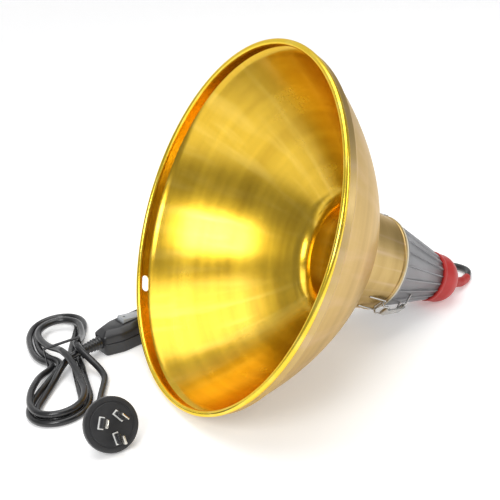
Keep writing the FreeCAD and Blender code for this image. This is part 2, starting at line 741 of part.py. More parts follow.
def make_switch():
    wall = value(D.switchWall)
    half_height = D.switchHeight / 2
    for name, low in (("switch_base", ZERO), ("switch_cover", half_height)):
        shell = padded(name + "Block", "XY_Plane", switch_plan(0.0), half_height, midplane=False)
        inside = padded(name + "Room", "XY_Plane", switch_plan(wall), half_height - wall, midplane=False)
        inside.Placement.Base.z = wall if name == "switch_base" else 0.0
        bores = []
        for side in (-1, 1):
            rise = half_height if name == "switch_base" else ZERO
            bore = cylinder(f"{name}Bore{side + 2}", D.cordRadius + 0.05, ZERO + 12.0, z=rise,
                            x=ZERO + side * (value(D.switchLength) / 2 - 8.0),
                            turn=Rotation(Vector(0, 1, 0), 90 * side))
            bores.append(bore)
        tools = [inside] + bores
        if name == "switch_cover":
            tools.append(box("rockerWindow", D.rockerLength + D.rockerGap * 2,
                             D.rockerWidth + D.rockerGap * 2, ZERO + 12.0, z=half_height - wall - 4.0))
        shaped = cut(name + "Hollow", shell, fuse(name + "Tools", tools))
        node(name, shaped, switch.multiply(Placement(Vector(0, 0, value(low)), Rotation())))

    pivot = D.switchHeight - 1.5
    half = D.rockerLength / 2
    body = padded("rockerBody", "XZ_Plane", [
        (-half + 0.9, pivot - 4.0), (half - 0.9, pivot - 4.0), (half, pivot - 1.0),
        (half - 0.1, pivot + 1.8),
        (ZERO + 2.0, pivot + 3.2), (-half + 1.3, pivot + 5.0), (-half + 0.1, pivot + 1.9),
        (-half, pivot - 1.0)], D.rockerWidth)
    stub = cylinder("rockerStub", ZERO + 1.2, D.rockerWidth + 0.5, y=D.rockerWidth / 2 + 0.25,
                    z=pivot, turn=Rotation(Vector(1, 0, 0), 90))
    node("switch_rocker", fuse("rockerPiece", [body, stub]), switch)

    contacts = []
    for side in (-1, 1):
        contacts.append(box(f"switchBlade{side + 2}", ZERO + 12.0, ZERO + 3.0, ZERO + 3.0,
                            x=ZERO + side * 9.0, y=ZERO + 4.0, z=D.switchWall + 0.05))
    node("switch_contacts", group("switchBlades", contacts), switch)
    screws = []
    for side in (-1, 1):
        screws.append(cylinder(f"caseScrew{side + 2}", ZERO + 1.5, D.switchHeight - D.switchWall * 2 - 0.1,
                               x=ZERO + side * 15.0, y=ZERO - 9.0, z=D.switchWall + 0.05))
    node("switch_screws", group("caseScrews", screws), switch)

    for name, side in (("switch_boot_plug", -1), ("switch_boot_lamp", 1)):
        end = value(D.switchLength) / 2
        base = Vector(side * end, 0, value(cord_level))
        way = Vector(side, 0, 0)
        collar = Part.makeCylinder(5.6, 2.0, base, way)
        taper = Part.makeCone(4.9, 3.6, SWITCH_BOOT, base, way)
        ribs = [Part.makeCylinder(5.3 - 0.3 * i, 1.2, base + way * (3.6 + 2.6 * i), way) for i in range(5)]
        hole = Part.makeCylinder(value(D.cordRadius), SWITCH_BOOT + 2, base - way * 1.0, way)
        feature = doc.addObject("Part::Feature", name + "Shape")
        feature.Shape = collar.fuse([taper] + ribs).removeSplitter().cut(hole)
        node(name, feature, switch)


make_switch()


# ---------------------------------------------------------------- plug
# Drawn with its pins along +Z, then laid on the floor on its rim and on its boot.

plug_face = Vector(-122.4, -37.4, 0)
plug_lift = math.radians(value(D.plugLift))
plug_face.z = (value(D.plugRadius) * math.cos(plug_lift)
               + (value(D.plugRim) - 1.2) * math.sin(plug_lift) + 0.05)
plug_way = Vector(0.093 * math.cos(plug_lift), -0.9957 * math.cos(plug_lift), math.sin(plug_lift))
plug_side = Vector(0.9957, 0.093, 0)
plug_up = plug_way.cross(plug_side)
plug_turn = Rotation(plug_side, plug_up, plug_way, "ZXY")
plug = Placement(shift + plug_face, plug_turn)


def flat_pin(name, offset, angle, lean, length):
    turn = Rotation(Vector(0, 0, 1), angle)
    place = turn.multVec(Vector(0, value(offset), 0))
    blade = box(name + "Blade", D.pinWidth, D.pinThick, length + 4.0, turn=Rotation())
    lie = Rotation(Vector(0, 0, 1), lean)
    corner = lie.multVec(Vector(-value(D.pinWidth) / 2, -value(D.pinThick) / 2, 0))
    blade.Placement = Placement(place + corner + Vector(0, 0, -4.0), lie)
    cover = box(name + "Cover", D.pinWidth + 0.9, D.pinThick + 0.9, D.sleeveLength, turn=Rotation())
    inset = lie.multVec(Vector(-value(D.pinWidth + 0.9) / 2, -value(D.pinThick + 0.9) / 2, 0))
    cover.Placement = Placement(place + inset, lie)
    return blade, cover


def make_plug():
    front = turned("plugFrontBody", [
        (ZERO, -D.plugRim), (D.plugRadius - 1.2, -D.plugRim), (D.plugRadius, -D.plugRim + 1.2),
        (D.plugRadius, ZERO - 0.9), (D.plugRadius - 0.9, ZERO), (ZERO, ZERO)])
    rear = spun("plugRearBody", [
        (ZERO, -D.plugBody), (D.plugBack, -D.plugBody), (D.plugBack + 1.5, -D.plugBody + 6.0),
        (D.plugRadius - 3.4, -D.plugRim - 0.05), (ZERO, -D.plugRim - 0.05)],
        arcs=[(2, ZERO + 30.0, 1)])
    pins = {
        "active_pin": (D.pinOffset, 60.0, 60.0, D.pinLength),
        "neutral_pin": (D.pinOffset, -60.0, -60.0, D.pinLength),
        "earth_pin": (D.earthOffset, 180.0, 90.0, D.earthLength),
    }
    blades, covers = [], []
    for name, (offset, angle, lean, length) in pins.items():
        blade, cover = flat_pin(name, offset, angle, lean, length)
        blades.append(blade)
        covers.append(cut(name + "Sleeve", cover, copy_of(blade, name)))
        node(name, group(name + "Piece", [blade]), plug)
    pockets = fuse("plugPockets", [copy_of(blade, blade.Name) for blade in blades])
    node("plug_face", cut("plugFaceCut", front, pockets), plug)
    node("plug_shell", rear, plug)
    node("pin_sleeves", group("pinSleeveSet", covers), plug)


def copy_of(thing, name):
    """The same box again, so that one blade can be both a piece and the tool for its pocket."""
    again = doc.addObject("Part::Box", name + "Tool")
    for prop in ("Length", "Width", "Height"):
        for path, text in thing.ExpressionEngine:
            if path == prop:
                again.setExpression(prop, text)
    again.Placement = thing.Placement
    return again


make_plug()


# ---------------------------------------------------------------- plug boot, cords and their hank

plug_rear = plug_face - plug_way * value(D.plugBody)
level_way = Vector(0.42, 0.9075, 0).normalize()
plug_in = plug_way * -1
sink_way = (plug_in + level_way).normalize()
boot_drop = (value(D.plugBootTip) + 0.1 - plug_rear.z) / sink_way.z
plug_boot_end = plug_rear + sink_way * boot_drop


def make_plug_boot():
    bend = plug_in.getAngle(level_way)
    radius = boot_drop / (2 * math.sin(bend / 2))
    inward = (level_way - plug_in).normalize()
    middle = (plug_rear + plug_boot_end) * 0.5 - inward * (radius * (1 - math.cos(bend / 2)))
    spine = Part.Wire([Part.Arc(plug_rear, middle, plug_boot_end).toShape()])
    big = Part.Wire([Part.Circle(plug_rear, plug_in, 5.0).toShape()])
    small = Part.Wire([Part.Circle(plug_boot_end, level_way, value(D.plugBootTip)).toShape()])
    core = Part.Wire([Part.Circle(plug_rear, plug_in, value(D.cordRadius)).toShape()])
    shape = spine.makePipeShell([big, small], True, True).cut(spine.makePipeShell([core], True, True))
    feature = doc.addObject("Part::Feature", "plugBootShape")
    feature.Shape = shape
    node("plug_boot", feature, floor)


make_plug_boot()

switch_local = Placement(Vector(-57.0, 103.0, 0), Rotation(Vector(0, 0, 1), SWITCH_TURN))
lamp_side_end = switch_local.multVec(Vector(value(D.switchLength) / 2 + SWITCH_BOOT, 0, value(cord_level)))

# Route points are in the floor frame before the shift, chosen by hand.
lamp_route = [
    tuple(boot_tip), tuple(boot_tip + boot_out * 8.6), (224.0, 26.5, 3.0), (219.0, 38.0, 3.0),
    (203.5, 47.5, 3.0), (174.0, 55.5, 3.0), (137.0, 71.0, 3.0), (92.0, 84.0, 3.0), (54.0, 101.0, 3.0),
    (24.0, 106.5, 4.5), (4.5, 112.4, 9.4), tuple(lamp_side_end)]


def make_cords():
    shape, radii, length = tube_shape(lamp_route, value(D.cordRadius))
    feature = doc.addObject("Part::Feature", "lampCordTube")
    feature.Shape = shape
    print("lamp cord length", round(length, 1), "arc radii", [round(r, 1) for r in radii])
    node("lamp_cord", feature, floor)


make_cords()

# Plan of the hank, counter-clockwise, as the loops lie on the floor.
HANK_PLAN = [(-168.2, 45), (-166.5, 26.5), (-153.5, 13.3), (-142, 11.8), (-128.4, 14.5), (-120.4, 19.2),
             (-113.8, 16.15), (-97.2, 52.5), (-95.8, 64), (-100.8, 81), (-105, 88), (-105, 103),
             (-97, 110), (-88.5, 130), (-82.2, 148), (-82, 165), (-89, 177.5), (-104, 184.5),
             (-116, 183.5), (-128, 176.5), (-136, 164), (-140, 146), (-140.5, 126), (-137, 111),
             (-132.2, 103.2), (-132.2, 98), (-146, 87.5), (-157, 74), (-165.5, 58)]
HANK_LOW = 0.1
HANK_TOP = 18.9
PLUG_CORD = 10.0


def make_hank():
    corners = [Vector(x, y, HANK_LOW) for x, y in HANK_PLAN]
    face = Part.Face(Part.makePolygon(corners + corners[:1]))
    block = face.extrude(Vector(0, 0, HANK_TOP - HANK_LOW))

    # The tie goes round the waist of the hank, and the block is cut back to make room for it.
    tie_low = Vector(-133.3, 99.7, 0.1)
    outer = Part.makeBox(31.0, 3.0, 20.0, tie_low)
    inner = Part.makeBox(29.2, 3.4, 18.2, tie_low + Vector(0.9, -0.2, 0.9))
    band = outer.cut(inner)
    bundle = doc.addObject("Part::Feature", "hankShape")
    bundle.Shape = block.cut(band)
    node("cord_hank", bundle, floor)
    tie = doc.addObject("Part::Feature", "tieShape")
    tie.Shape = band
    node("cord_tie", tie, floor)


def make_plug_cord():
    end = plug_boot_end + level_way * PLUG_CORD
    shape = tube_shape([tuple(plug_boot_end), tuple(end)], value(D.cordRadius))[0]
    feature = doc.addObject("Part::Feature", "plugCordTube")
    feature.Shape = shape
    node("plug_cord", feature, floor)
    print("plug cord from", [round(c, 2) for c in plug_boot_end], "to", [round(c, 2) for c in end])


make_hank()
make_plug_cord()

doc.recompute()

# ---------------------------------------------------------------- checks, then one file for each piece

problems = []
for thing in doc.Objects:
    if "Invalid" in thing.State or "Error" in thing.State:
        problems.append(f"{thing.Name} {thing.State}")
for piece in nodes:
    shape = piece.Shape
    if shape.isNull() or not shape.isValid():
        problems.append(f"{piece.Label} has a bad shape")
    elif shape.Volume <= 0 or not shape.Solids:
        problems.append(f"{piece.Label} holds no solid")
if problems:
    raise RuntimeError("; ".join(problems))

os.makedirs("parts", exist_ok=True)
for piece in nodes:
    piece.Shape.exportStep(f"parts/{piece.Label}.step")
print(len(nodes), "nodes")
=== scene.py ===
import bpy
import bmesh
import json
import math
from mathutils import Matrix, Vector


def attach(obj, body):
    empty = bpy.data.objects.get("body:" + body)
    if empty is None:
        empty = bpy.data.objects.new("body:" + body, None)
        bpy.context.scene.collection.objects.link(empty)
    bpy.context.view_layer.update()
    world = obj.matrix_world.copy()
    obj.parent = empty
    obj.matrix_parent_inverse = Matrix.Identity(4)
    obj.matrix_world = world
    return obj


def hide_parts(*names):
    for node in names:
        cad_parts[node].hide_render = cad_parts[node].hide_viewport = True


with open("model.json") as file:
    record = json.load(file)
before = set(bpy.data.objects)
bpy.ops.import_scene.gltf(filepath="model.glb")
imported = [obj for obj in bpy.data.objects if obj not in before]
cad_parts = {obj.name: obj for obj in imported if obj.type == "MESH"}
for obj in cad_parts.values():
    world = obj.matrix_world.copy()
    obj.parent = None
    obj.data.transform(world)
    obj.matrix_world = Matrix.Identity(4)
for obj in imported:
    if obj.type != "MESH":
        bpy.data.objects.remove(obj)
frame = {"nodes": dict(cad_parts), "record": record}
fullTurn = 2 * math.pi
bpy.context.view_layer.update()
record = frame["record"]
scene = bpy.context.scene
mm = 0.001


# camera, turned so that the shade's mouth looks left and towards the viewer
camera = {
    "place": (-0.33257, -0.65424, 0.42856),
    "right": (0.88988, -0.4378, -0.12824),
    "up": (0.29221, 0.33116, 0.89719),
    "back": (-0.35032, -0.83586, 0.42262),
    "lens": 75.6,
}


def makeCamera(values):
    data = bpy.data.cameras.new("viewCamera")
    data.lens = values["lens"]
    data.sensor_width = 36
    data.clip_start = 0.02
    eye = bpy.data.objects.new("viewCamera", data)
    scene.collection.objects.link(eye)
    axes = Matrix((values["right"], values["up"], values["back"])).transposed()
    eye.matrix_world = Matrix.Translation(values["place"]) @ axes.to_4x4()
    scene.camera = eye


makeCamera(camera)
print("camera set")


# cords: one from the lamp to the in-line switch, one from the switch through the hank to the plug
layX = -0.074301     # where the cord points' x starts, beside the middle of the lamp
cords = {
    "radius": 0.00275,
    "lampSide": [
        (216.69, 10.06, 3.4), (223.28, 15.58, 3.4), (224.0, 26.5, 3.0), (219.0, 38.0, 3.0),
        (203.5, 47.5, 3.0), (174.0, 55.5, 3.0), (137.0, 71.0, 3.0), (92.0, 84.0, 3.0),
        (54.0, 101.0, 3.0), (24.0, 106.5, 4.5), (4.5, 112.4, 9.4), (-9.73, 111.34, 10.5)],
    # in at the waist, over the first strands, and down into the inner lower loop
    "plugSide": [
        (-104.27, 94.66, 10.5), (-112.5, 93.2, 10.4), (-124.0, 86.0, 8.6), (-137.0, 71.0, 4.0),
        (-150.0, 55.0, 2.9), (-160.1, 41.2, 2.85), (-157.1, 27.4, 2.85), (-145.2, 19.9, 2.85),
        (-131.4, 22.9, 2.85), (-124.5, 34.8, 2.85), (-121.5, 52.0, 2.85), (-118.0, 70.0, 2.9),
        (-114.5, 86.0, 3.5), (-113.4, 98.0, 3.8), (-110.0, 112.0, 3.3), (-99.5, 134.0, 2.85),
        # inner upper loop
        (-89.7, 154.8, 2.85), (-92.8, 168.7, 2.85), (-104.8, 176.3, 2.85), (-118.7, 173.2, 2.85),
        (-126.3, 161.2, 2.85), (-129.5, 146.0, 2.85), (-131.0, 128.0, 2.85), (-128.5, 114.0, 3.3),
        (-122.5, 102.0, 3.8), (-125.5, 91.5, 3.5), (-138.0, 79.0, 2.9),
        # outer lower loop
        (-156.0, 60.0, 2.85), (-166.4, 42.3, 2.85), (-162.3, 23.8, 2.85), (-146.3, 13.6, 2.85),
        (-127.8, 17.7, 2.85), (-117.8, 33.7, 2.85), (-115.0, 52.0, 2.85), (-112.0, 70.0, 2.9),
        (-108.8, 86.0, 3.4), (-107.6, 98.0, 3.8), (-103.8, 112.0, 3.3), (-93.5, 132.0, 2.85),
        # outer upper loop
        (-83.5, 153.7, 2.85), (-87.6, 172.3, 2.85), (-103.7, 182.5, 2.85), (-122.3, 178.4, 2.85),
        (-132.5, 162.3, 2.85), (-136.0, 146.0, 2.85), (-137.5, 128.0, 2.85), (-135.5, 114.0, 3.3),
        (-128.8, 102.0, 3.8), (-132.5, 93.5, 3.8), (-143.0, 86.0, 5.6), (-150.5, 73.0, 8.4),
        # lower loop on top of the others, then over the cord's own start
        (-158.0, 60.0, 8.8), (-163.3, 41.8, 8.7), (-159.7, 25.6, 8.7), (-145.8, 16.7, 8.7),
        (-129.6, 20.3, 8.7), (-120.7, 34.3, 8.7), (-118.3, 52.0, 8.9), (-117.5, 68.0, 11.5),
        (-118.0, 82.0, 15.4), (-119.5, 94.0, 15.9), (-121.0, 106.0, 13.0), (-125.5, 122.0, 9.2),
        # upper loop on top, turning the other way
        (-128.1, 141.7, 8.7), (-125.0, 155.8, 8.7), (-112.8, 163.6, 8.7), (-98.7, 160.5, 8.7),
        (-90.9, 148.3, 8.7), (-92.4, 136.0, 8.7), (-95.0, 124.0, 9.2), (-100.5, 112.0, 12.0),
        (-106.0, 102.5, 16.1), (-107.3, 91.5, 16.2), (-104.0, 80.0, 12.0), (-99.5, 68.0, 6.0),
        # out to the plug
        (-98.5, 56.0, 3.1), (-103.0, 46.0, 2.9), (-109.0, 34.5, 2.9), (-113.4, 25.0, 3.0),
        (-117.19, 16.47, 3.4), (-121.39, 7.39, 3.6)],
}


def laid(point):
    return Vector((point[0] * mm + layX, point[1] * mm, point[2] * mm))


def makeCordCurve(name, points, radius):
    data = bpy.data.curves.new(name, "CURVE")
    data.dimensions = "3D"
    data.bevel_depth = radius
    data.bevel_resolution = 6
    data.resolution_u = 10
    data.use_fill_caps = True
    spline = data.splines.new("NURBS")
    spline.points.add(len(points) - 1)
    for spot, point in zip(spline.points, points):
        spot.co = (*laid(point), 1.0)
    spline.order_u = 3
    spline.use_endpoint_u = True
    cord = bpy.data.objects.new(name, data)
    scene.collection.objects.link(cord)
    return cord


lampSideCord = makeCordCurve("lampSideCord", cords["lampSide"], cords["radius"])
plugSideCord = makeCordCurve("plugSideCord", cords["plugSide"], cords["radius"])


def lengthOf(cord):
    # measured along a copy of the cord with no thickness
    bare = cord.data.copy()
    bare.bevel_depth = 0
    probe = bpy.data.objects.new("probe", bare)
    scene.collection.objects.link(probe)
    depsgraph = bpy.context.evaluated_depsgraph_get()
    line = bpy.data.meshes.new_from_object(probe.evaluated_get(depsgraph))
    spots = [v.co.copy() for v in line.vertices]
    bpy.data.objects.remove(probe)
    bpy.data.meshes.remove(line)
    return sum((q - p).length for p, q in zip(spots, spots[1:]))


for cord in (lampSideCord, plugSideCord):
    print(cord.name, "is", round(lengthOf(cord), 3), "m long")


# where the lamp's own axis lies: pieces are drawn about Z, mouth at 0, and then tipped over
socket = next(m for m in record["mounts"] if m["name"] == "lamp_socket")
mouthWay = Vector(socket["axis"]).normalized()
socketDepth = 0.1205
lampOrigin = Vector(socket["pos_m"]) + mouthWay * socketDepth
alongAxis = -mouthWay
sideAxis = Vector((0, 1, 0))
downAxis = sideAxis.cross(alongAxis)
lampMatrix = Matrix.Translation(lampOrigin) @ Matrix((downAxis, sideAxis,
                                                      alongAxis)).transposed().to_4x4()

lampBody = "lamp"


# small tools for meshes

def arcPoints(p, q, radius, side, count):
    # from p to q, bulging to the left (+1) or right (-1) of the way; both ends are given back
    dx, dy = q[0] - p[0], q[1] - p[1]
    chord = math.hypot(dx, dy)
    rise = math.sqrt(radius ** 2 - (chord / 2) ** 2)
    centre = ((p[0] + q[0]) / 2 + side * rise * dy / chord,
              (p[1] + q[1]) / 2 - side * rise * dx / chord)
    first = math.atan2(p[1] - centre[1], p[0] - centre[0])
    swing = 2 * math.asin(chord / 2 / radius) * -side
    return [(centre[0] + radius * math.cos(first + swing * i / count),
             centre[1] + radius * math.sin(first + swing * i / count)) for i in range(count + 1)]


def roundPoints(centre, radius, start, end, count):
    angles = [math.radians(start + (end - start) * i / count) for i in range(count + 1)]
    return [(centre[0] + radius * math.cos(t), centre[1] + radius * math.sin(t)) for t in angles]


def finishMesh(name, bm, sharp=32, fix=True):
    if fix:
        bmesh.ops.recalc_face_normals(bm, faces=bm.faces)
    mesh = bpy.data.meshes.new(name)
    bm.to_mesh(mesh)
    bm.free()
    mesh.shade_smooth()
    mesh.set_sharp_from_angle(angle=math.radians(sharp))
    piece = bpy.data.objects.new(name, mesh)
    scene.collection.objects.link(piece)
    return piece


def lathe(name, profile, around=128, closed=True, sharp=32, marks=None):
    # profile is (radius, height) points; marks gives a material number for a stretch of it
    bm = bmesh.new()
    uv = bm.loops.layers.uv.new("UVMap")
    rings = []
    for radius, height in profile:
        if radius < 1e-7:
            rings.append([bm.verts.new((0, 0, height))] * around)
        else:
            rings.append([bm.verts.new((radius * math.cos(fullTurn * k / around),
                                        radius * math.sin(fullTurn * k / around), height))
                          for k in range(around)])
    runs = [0.0]
    count = len(profile)
    for i in range(count):
        p, q = profile[i], profile[(i + 1) % count]
        runs.append(runs[-1] + math.hypot(q[0] - p[0], q[1] - p[1]))
    for i in range(count if closed else count - 1):
        low, high = rings[i], rings[(i + 1) % count]
        for k in range(around):
            j = (k + 1) % around
            corners = [(low[k], k, i), (low[j], k + 1, i), (high[j], k + 1, i + 1), (high[k], k, i + 1)]
            kept = []
            for corner in corners:
                if corner[0] not in [c[0] for c in kept]:
                    kept.append(corner)
            if len(kept) < 3:
                continue
            face = bm.faces.new([c[0] for c in kept])
            if marks:
                face.material_index = marks(i)
            for loop, corner in zip(face.loops, kept):
                loop[uv].uv = (corner[1] / around, runs[corner[2]] * 10)
    return finishMesh(name, bm, sharp)


def sweep(name, spots, radii, around=32, tube=None):
    # a bent, tapering rod along spots; with tube it is hollow, of that inner radius
    bm = bmesh.new()
    ways = []
    for i in range(len(spots)):
        before, after = spots[max(i - 1, 0)], spots[min(i + 1, len(spots) - 1)]
        ways.append((after - before).normalized())
    across = ways[0].orthogonal().normalized()
    outer, inner = [], []
    for spot, way, radius in zip(spots, ways, radii):
        across = (across - way * across.dot(way)).normalized()
        over = way.cross(across)
        turnsOf = [(math.cos(fullTurn * k / around),
                    math.sin(fullTurn * k / around)) for k in range(around)]
        outer.append([bm.verts.new(spot + (across * c + over * s) * radius) for c, s in turnsOf])
        if tube:
            inner.append([bm.verts.new(spot + (across * c + over * s) * tube) for c, s in turnsOf])
    for rings in (outer, inner):
        for low, high in zip(rings, rings[1:]):
            for k in range(around):
                bm.faces.new((low[k], low[(k + 1) % around], high[(k + 1) % around], high[k]))
    for end in (0, -1):
        if tube:
            for k in range(around):
                j = (k + 1) % around
                bm.faces.new((outer[end][k], outer[end][j], inner[end][j], inner[end][k]))
        else:
            bm.faces.new(outer[end])
    return finishMesh(name, bm)


def insetOutline(outline, inset):
    moved = []
    for i, (x, y) in enumerate(outline):
        before, after = Vector(outline[i - 1]), Vector(outline[(i + 1) % len(outline)])
        here = Vector((x, y))
        n1 = (here - before).normalized()
        n2 = (after - here).normalized()
        inward = Vector((-(n1.y + n2.y), n1.x + n2.x)) / max(1e-9, 1 + n1.dot(n2))
        moved.append((x + inward.x * inset, y + inward.y * inset))
    return moved


def stacked(name, levels, sharp=32):
    # levels is (height, XY points) rows from the bottom to the top, all with the same number of points
    bm = bmesh.new()
    rows = [[bm.verts.new((x, y, height)) for x, y in points] for height, points in levels]
    count = len(rows[0])
    for low, high in zip(rows, rows[1:]):
        for k in range(count):
            bm.faces.new((low[k], low[(k + 1) % count], high[(k + 1) % count], high[k]))
    bm.faces.new(list(reversed(rows[0])))
    bm.faces.new(rows[-1])
    return finishMesh(name, bm, sharp)


def prism(name, outline, levels, sharp=32):
    # outline is XY points; levels is (height, inset) rows from the bottom to the top
    return stacked(name, [(height, insetOutline(outline, inset)) for height, inset in levels], sharp)


def slab(name, halfWide, halfDeep, levels):
    corners = [(-halfWide, -halfDeep), (halfWide, -halfDeep), (halfWide, halfDeep),
               (-halfWide, halfDeep)]
    return prism(name, corners, levels)


def evaluated(piece):
    # the piece with its modifiers made real, as a plain mesh
    depsgraph = bpy.context.evaluated_depsgraph_get()
    mesh = bpy.data.meshes.new_from_object(piece.evaluated_get(depsgraph),
                                           preserve_all_data_layers=True, depsgraph=depsgraph)
    old = piece.data
    piece.modifiers.clear()
    piece.data = mesh
    bpy.data.meshes.remove(old)
    return piece


def bevelled(piece, width, steps=3, angle=30):
    bevel = piece.modifiers.new("edges", "BEVEL")
    bevel.width = width
    bevel.segments = steps
    bevel.limit_method = "ANGLE"
    bevel.angle_limit = math.radians(angle)
    evaluated(piece)
    piece.data.shade_smooth()
    piece.data.set_sharp_from_angle(angle=math.radians(40))
    return piece


def carved(piece, tool):
    cut = piece.modifiers.new("carve", "BOOLEAN")
    cut.operation = "DIFFERENCE"
    cut.solver = "EXACT"
    cut.object = tool
    evaluated(piece)
    bpy.data.objects.remove(tool)
    piece.data.shade_smooth()
    piece.data.set_sharp_from_angle(angle=math.radians(32))
    return piece


def joined(name, parts):
    # several meshes as one piece; each keeps its own materials
    bm = bmesh.new()
    materials = []
    for part in parts:
        for material in part.data.materials:
            if material not in materials:
                materials.append(material)
        first = len(bm.faces)
        bm.from_mesh(part.data)
        bm.faces.ensure_lookup_table()
        for face in bm.faces[first:]:
            if part.data.materials:
                face.material_index = materials.index(part.data.materials[face.material_index])
    mesh = bpy.data.meshes.new(name)
    bm.to_mesh(mesh)
    bm.free()
    for material in materials:
        mesh.materials.append(material)
    piece = bpy.data.objects.new(name, mesh)
    scene.collection.objects.link(piece)
    for part in parts:
        bpy.data.objects.remove(part)
    return piece


def placed(piece, matrix):
    piece.data.transform(matrix)
    if matrix.to_3x3().determinant() < 0:
        piece.data.flip_normals()
    return piece


def dressed(piece, *materials):
    for material in materials:
        piece.data.materials.append(material)
    return piece


def settle(piece, body, nodes=()):
    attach(piece, body)
    if nodes:
        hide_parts(*nodes)
    return piece


# geometry node trees for what repeats

def newTree(name, sizes):
    tree = bpy.data.node_groups.new(name, "GeometryNodeTree")
    tree.interface.new_socket(name="Geometry", in_out="INPUT", socket_type="NodeSocketGeometry")
    for label, kind, value in sizes:
        socketMade = tree.interface.new_socket(name=label, in_out="INPUT", socket_type=kind)
        if value is not None:
            socketMade.default_value = value
    tree.interface.new_socket(name="Geometry", in_out="OUTPUT", socket_type="NodeSocketGeometry")
    return tree, tree.nodes.new("NodeGroupInput"), tree.nodes.new("NodeGroupOutput")


def closeTree(tree, source, start, end):
    real = tree.nodes.new("GeometryNodeRealizeInstances")
    paint = tree.nodes.new("GeometryNodeSetMaterial")
    tree.links.new(source, real.inputs["Geometry"])
    tree.links.new(real.outputs["Geometry"], paint.inputs["Geometry"])
    tree.links.new(start.outputs["Material"], paint.inputs["Material"])
    tree.links.new(paint.outputs["Geometry"], end.inputs["Geometry"])


def mathNode(tree, operation, a, b=None):
    node = tree.nodes.new("ShaderNodeMath")
    node.operation = operation
    for i, source in enumerate((a, b)):
        if source is None:
            continue
        if isinstance(source, (int, float)):
            node.inputs[i].default_value = source
        else:
            tree.links.new(source, node.inputs[i])
    return node.outputs[0]


def makeRingTree():
    # copies of one piece, evenly about Z
    tree, start, end = newTree("ringOfCopies", [
        ("Count", "NodeSocketInt", 8), ("First Angle", "NodeSocketFloat", 0.0),
        ("Material", "NodeSocketMaterial", None)])
    points = tree.nodes.new("GeometryNodePoints")
    copies = tree.nodes.new("GeometryNodeInstanceOnPoints")
    index = tree.nodes.new("GeometryNodeInputIndex")
    turn = tree.nodes.new("ShaderNodeCombineXYZ")
    euler = tree.nodes.new("FunctionNodeEulerToRotation")
    step = mathNode(tree, "DIVIDE", fullTurn, start.outputs["Count"])
    angle = mathNode(tree, "MULTIPLY", index.outputs[0], step)
    tree.links.new(mathNode(tree, "ADD", angle, start.outputs["First Angle"]), turn.inputs["Z"])
    tree.links.new(turn.outputs[0], euler.inputs[0])
    tree.links.new(start.outputs["Count"], points.inputs["Count"])
    tree.links.new(points.outputs[0], copies.inputs["Points"])
    tree.links.new(start.outputs["Geometry"], copies.inputs["Instance"])
    tree.links.new(euler.outputs[0], copies.inputs["Rotation"])
    closeTree(tree, copies.outputs[0], start, end)
    return tree


def makeRowTree():
    # copies of one piece in a row along X, each a little smaller than the last
    tree, start, end = newTree("rowOfCopies", [
        ("Count", "NodeSocketInt", 5), ("Step", "NodeSocketFloat", 0.003),
        ("Shrink", "NodeSocketFloat", 0.05), ("Material", "NodeSocketMaterial", None)])
    points = tree.nodes.new("GeometryNodePoints")
    copies = tree.nodes.new("GeometryNodeInstanceOnPoints")
    index = tree.nodes.new("GeometryNodeInputIndex")
    spot = tree.nodes.new("ShaderNodeCombineXYZ")
    size = tree.nodes.new("ShaderNodeCombineXYZ")
    tree.links.new(mathNode(tree, "MULTIPLY", index.outputs[0], start.outputs["Step"]),
                   spot.inputs["X"])
    less = mathNode(tree, "MULTIPLY", index.outputs[0], start.outputs["Shrink"])
    kept = mathNode(tree, "SUBTRACT", 1.0, less)
    size.inputs["X"].default_value = 1.0
    tree.links.new(kept, size.inputs["Y"])
    tree.links.new(kept, size.inputs["Z"])
    tree.links.new(start.outputs["Count"], points.inputs["Count"])
    tree.links.new(spot.outputs[0], points.inputs["Position"])
    tree.links.new(points.outputs[0], copies.inputs["Points"])
    tree.links.new(start.outputs["Geometry"], copies.inputs["Instance"])
    tree.links.new(size.outputs[0], copies.inputs["Scale"])
    closeTree(tree, copies.outputs[0], start, end)
    return tree


ringTree = makeRingTree()
rowTree = makeRowTree()


def repeated(piece, tree, **sizes):
    grow = piece.modifiers.new("copies", "NODES")
    grow.node_group = tree
    named = {label.replace("_", " "): value for label, value in sizes.items()}
    for item in tree.interface.items_tree:
        if item.in_out == "INPUT" and item.name in named:
            grow[item.identifier] = named[item.name]
    return evaluated(piece)


print("tools and trees ready")


# shared shader effects

def makeShaderGroup(name, inputs, outputs):
    group = bpy.data.node_groups.new(name, "ShaderNodeTree")
    for label, kind, value in inputs:
        made = group.interface.new_socket(name=label, in_out="INPUT", socket_type=kind)
        if value is not None:
            made.default_value = value
    for label, kind in outputs:
        group.interface.new_socket(name=label, in_out="OUTPUT", socket_type=kind)
    return group, group.nodes.new("NodeGroupInput"), group.nodes.new("NodeGroupOutput")


def noiseNode(tree, vector, scale, detail=3.0, rough=0.5):
    node = tree.nodes.new("ShaderNodeTexNoise")
    node.inputs["Detail"].default_value = detail
    node.inputs["Roughness"].default_value = rough
    tree.links.new(vector, node.inputs["Vector"])
    if isinstance(scale, (int, float)):
        node.inputs["Scale"].default_value = scale
    else:
        tree.links.new(scale, node.inputs["Scale"])
    return node.outputs["Fac"]


def rangeNode(tree, value, low, high, outLow=0.0, outHigh=1.0):
    node = tree.nodes.new("ShaderNodeMapRange")
    for label, number in (("From Min", low), ("From Max", high), ("To Min", outLow),
                          ("To Max", outHigh)):
        node.inputs[label].default_value = number
    tree.links.new(value, node.inputs["Value"])
    return node.outputs["Result"]


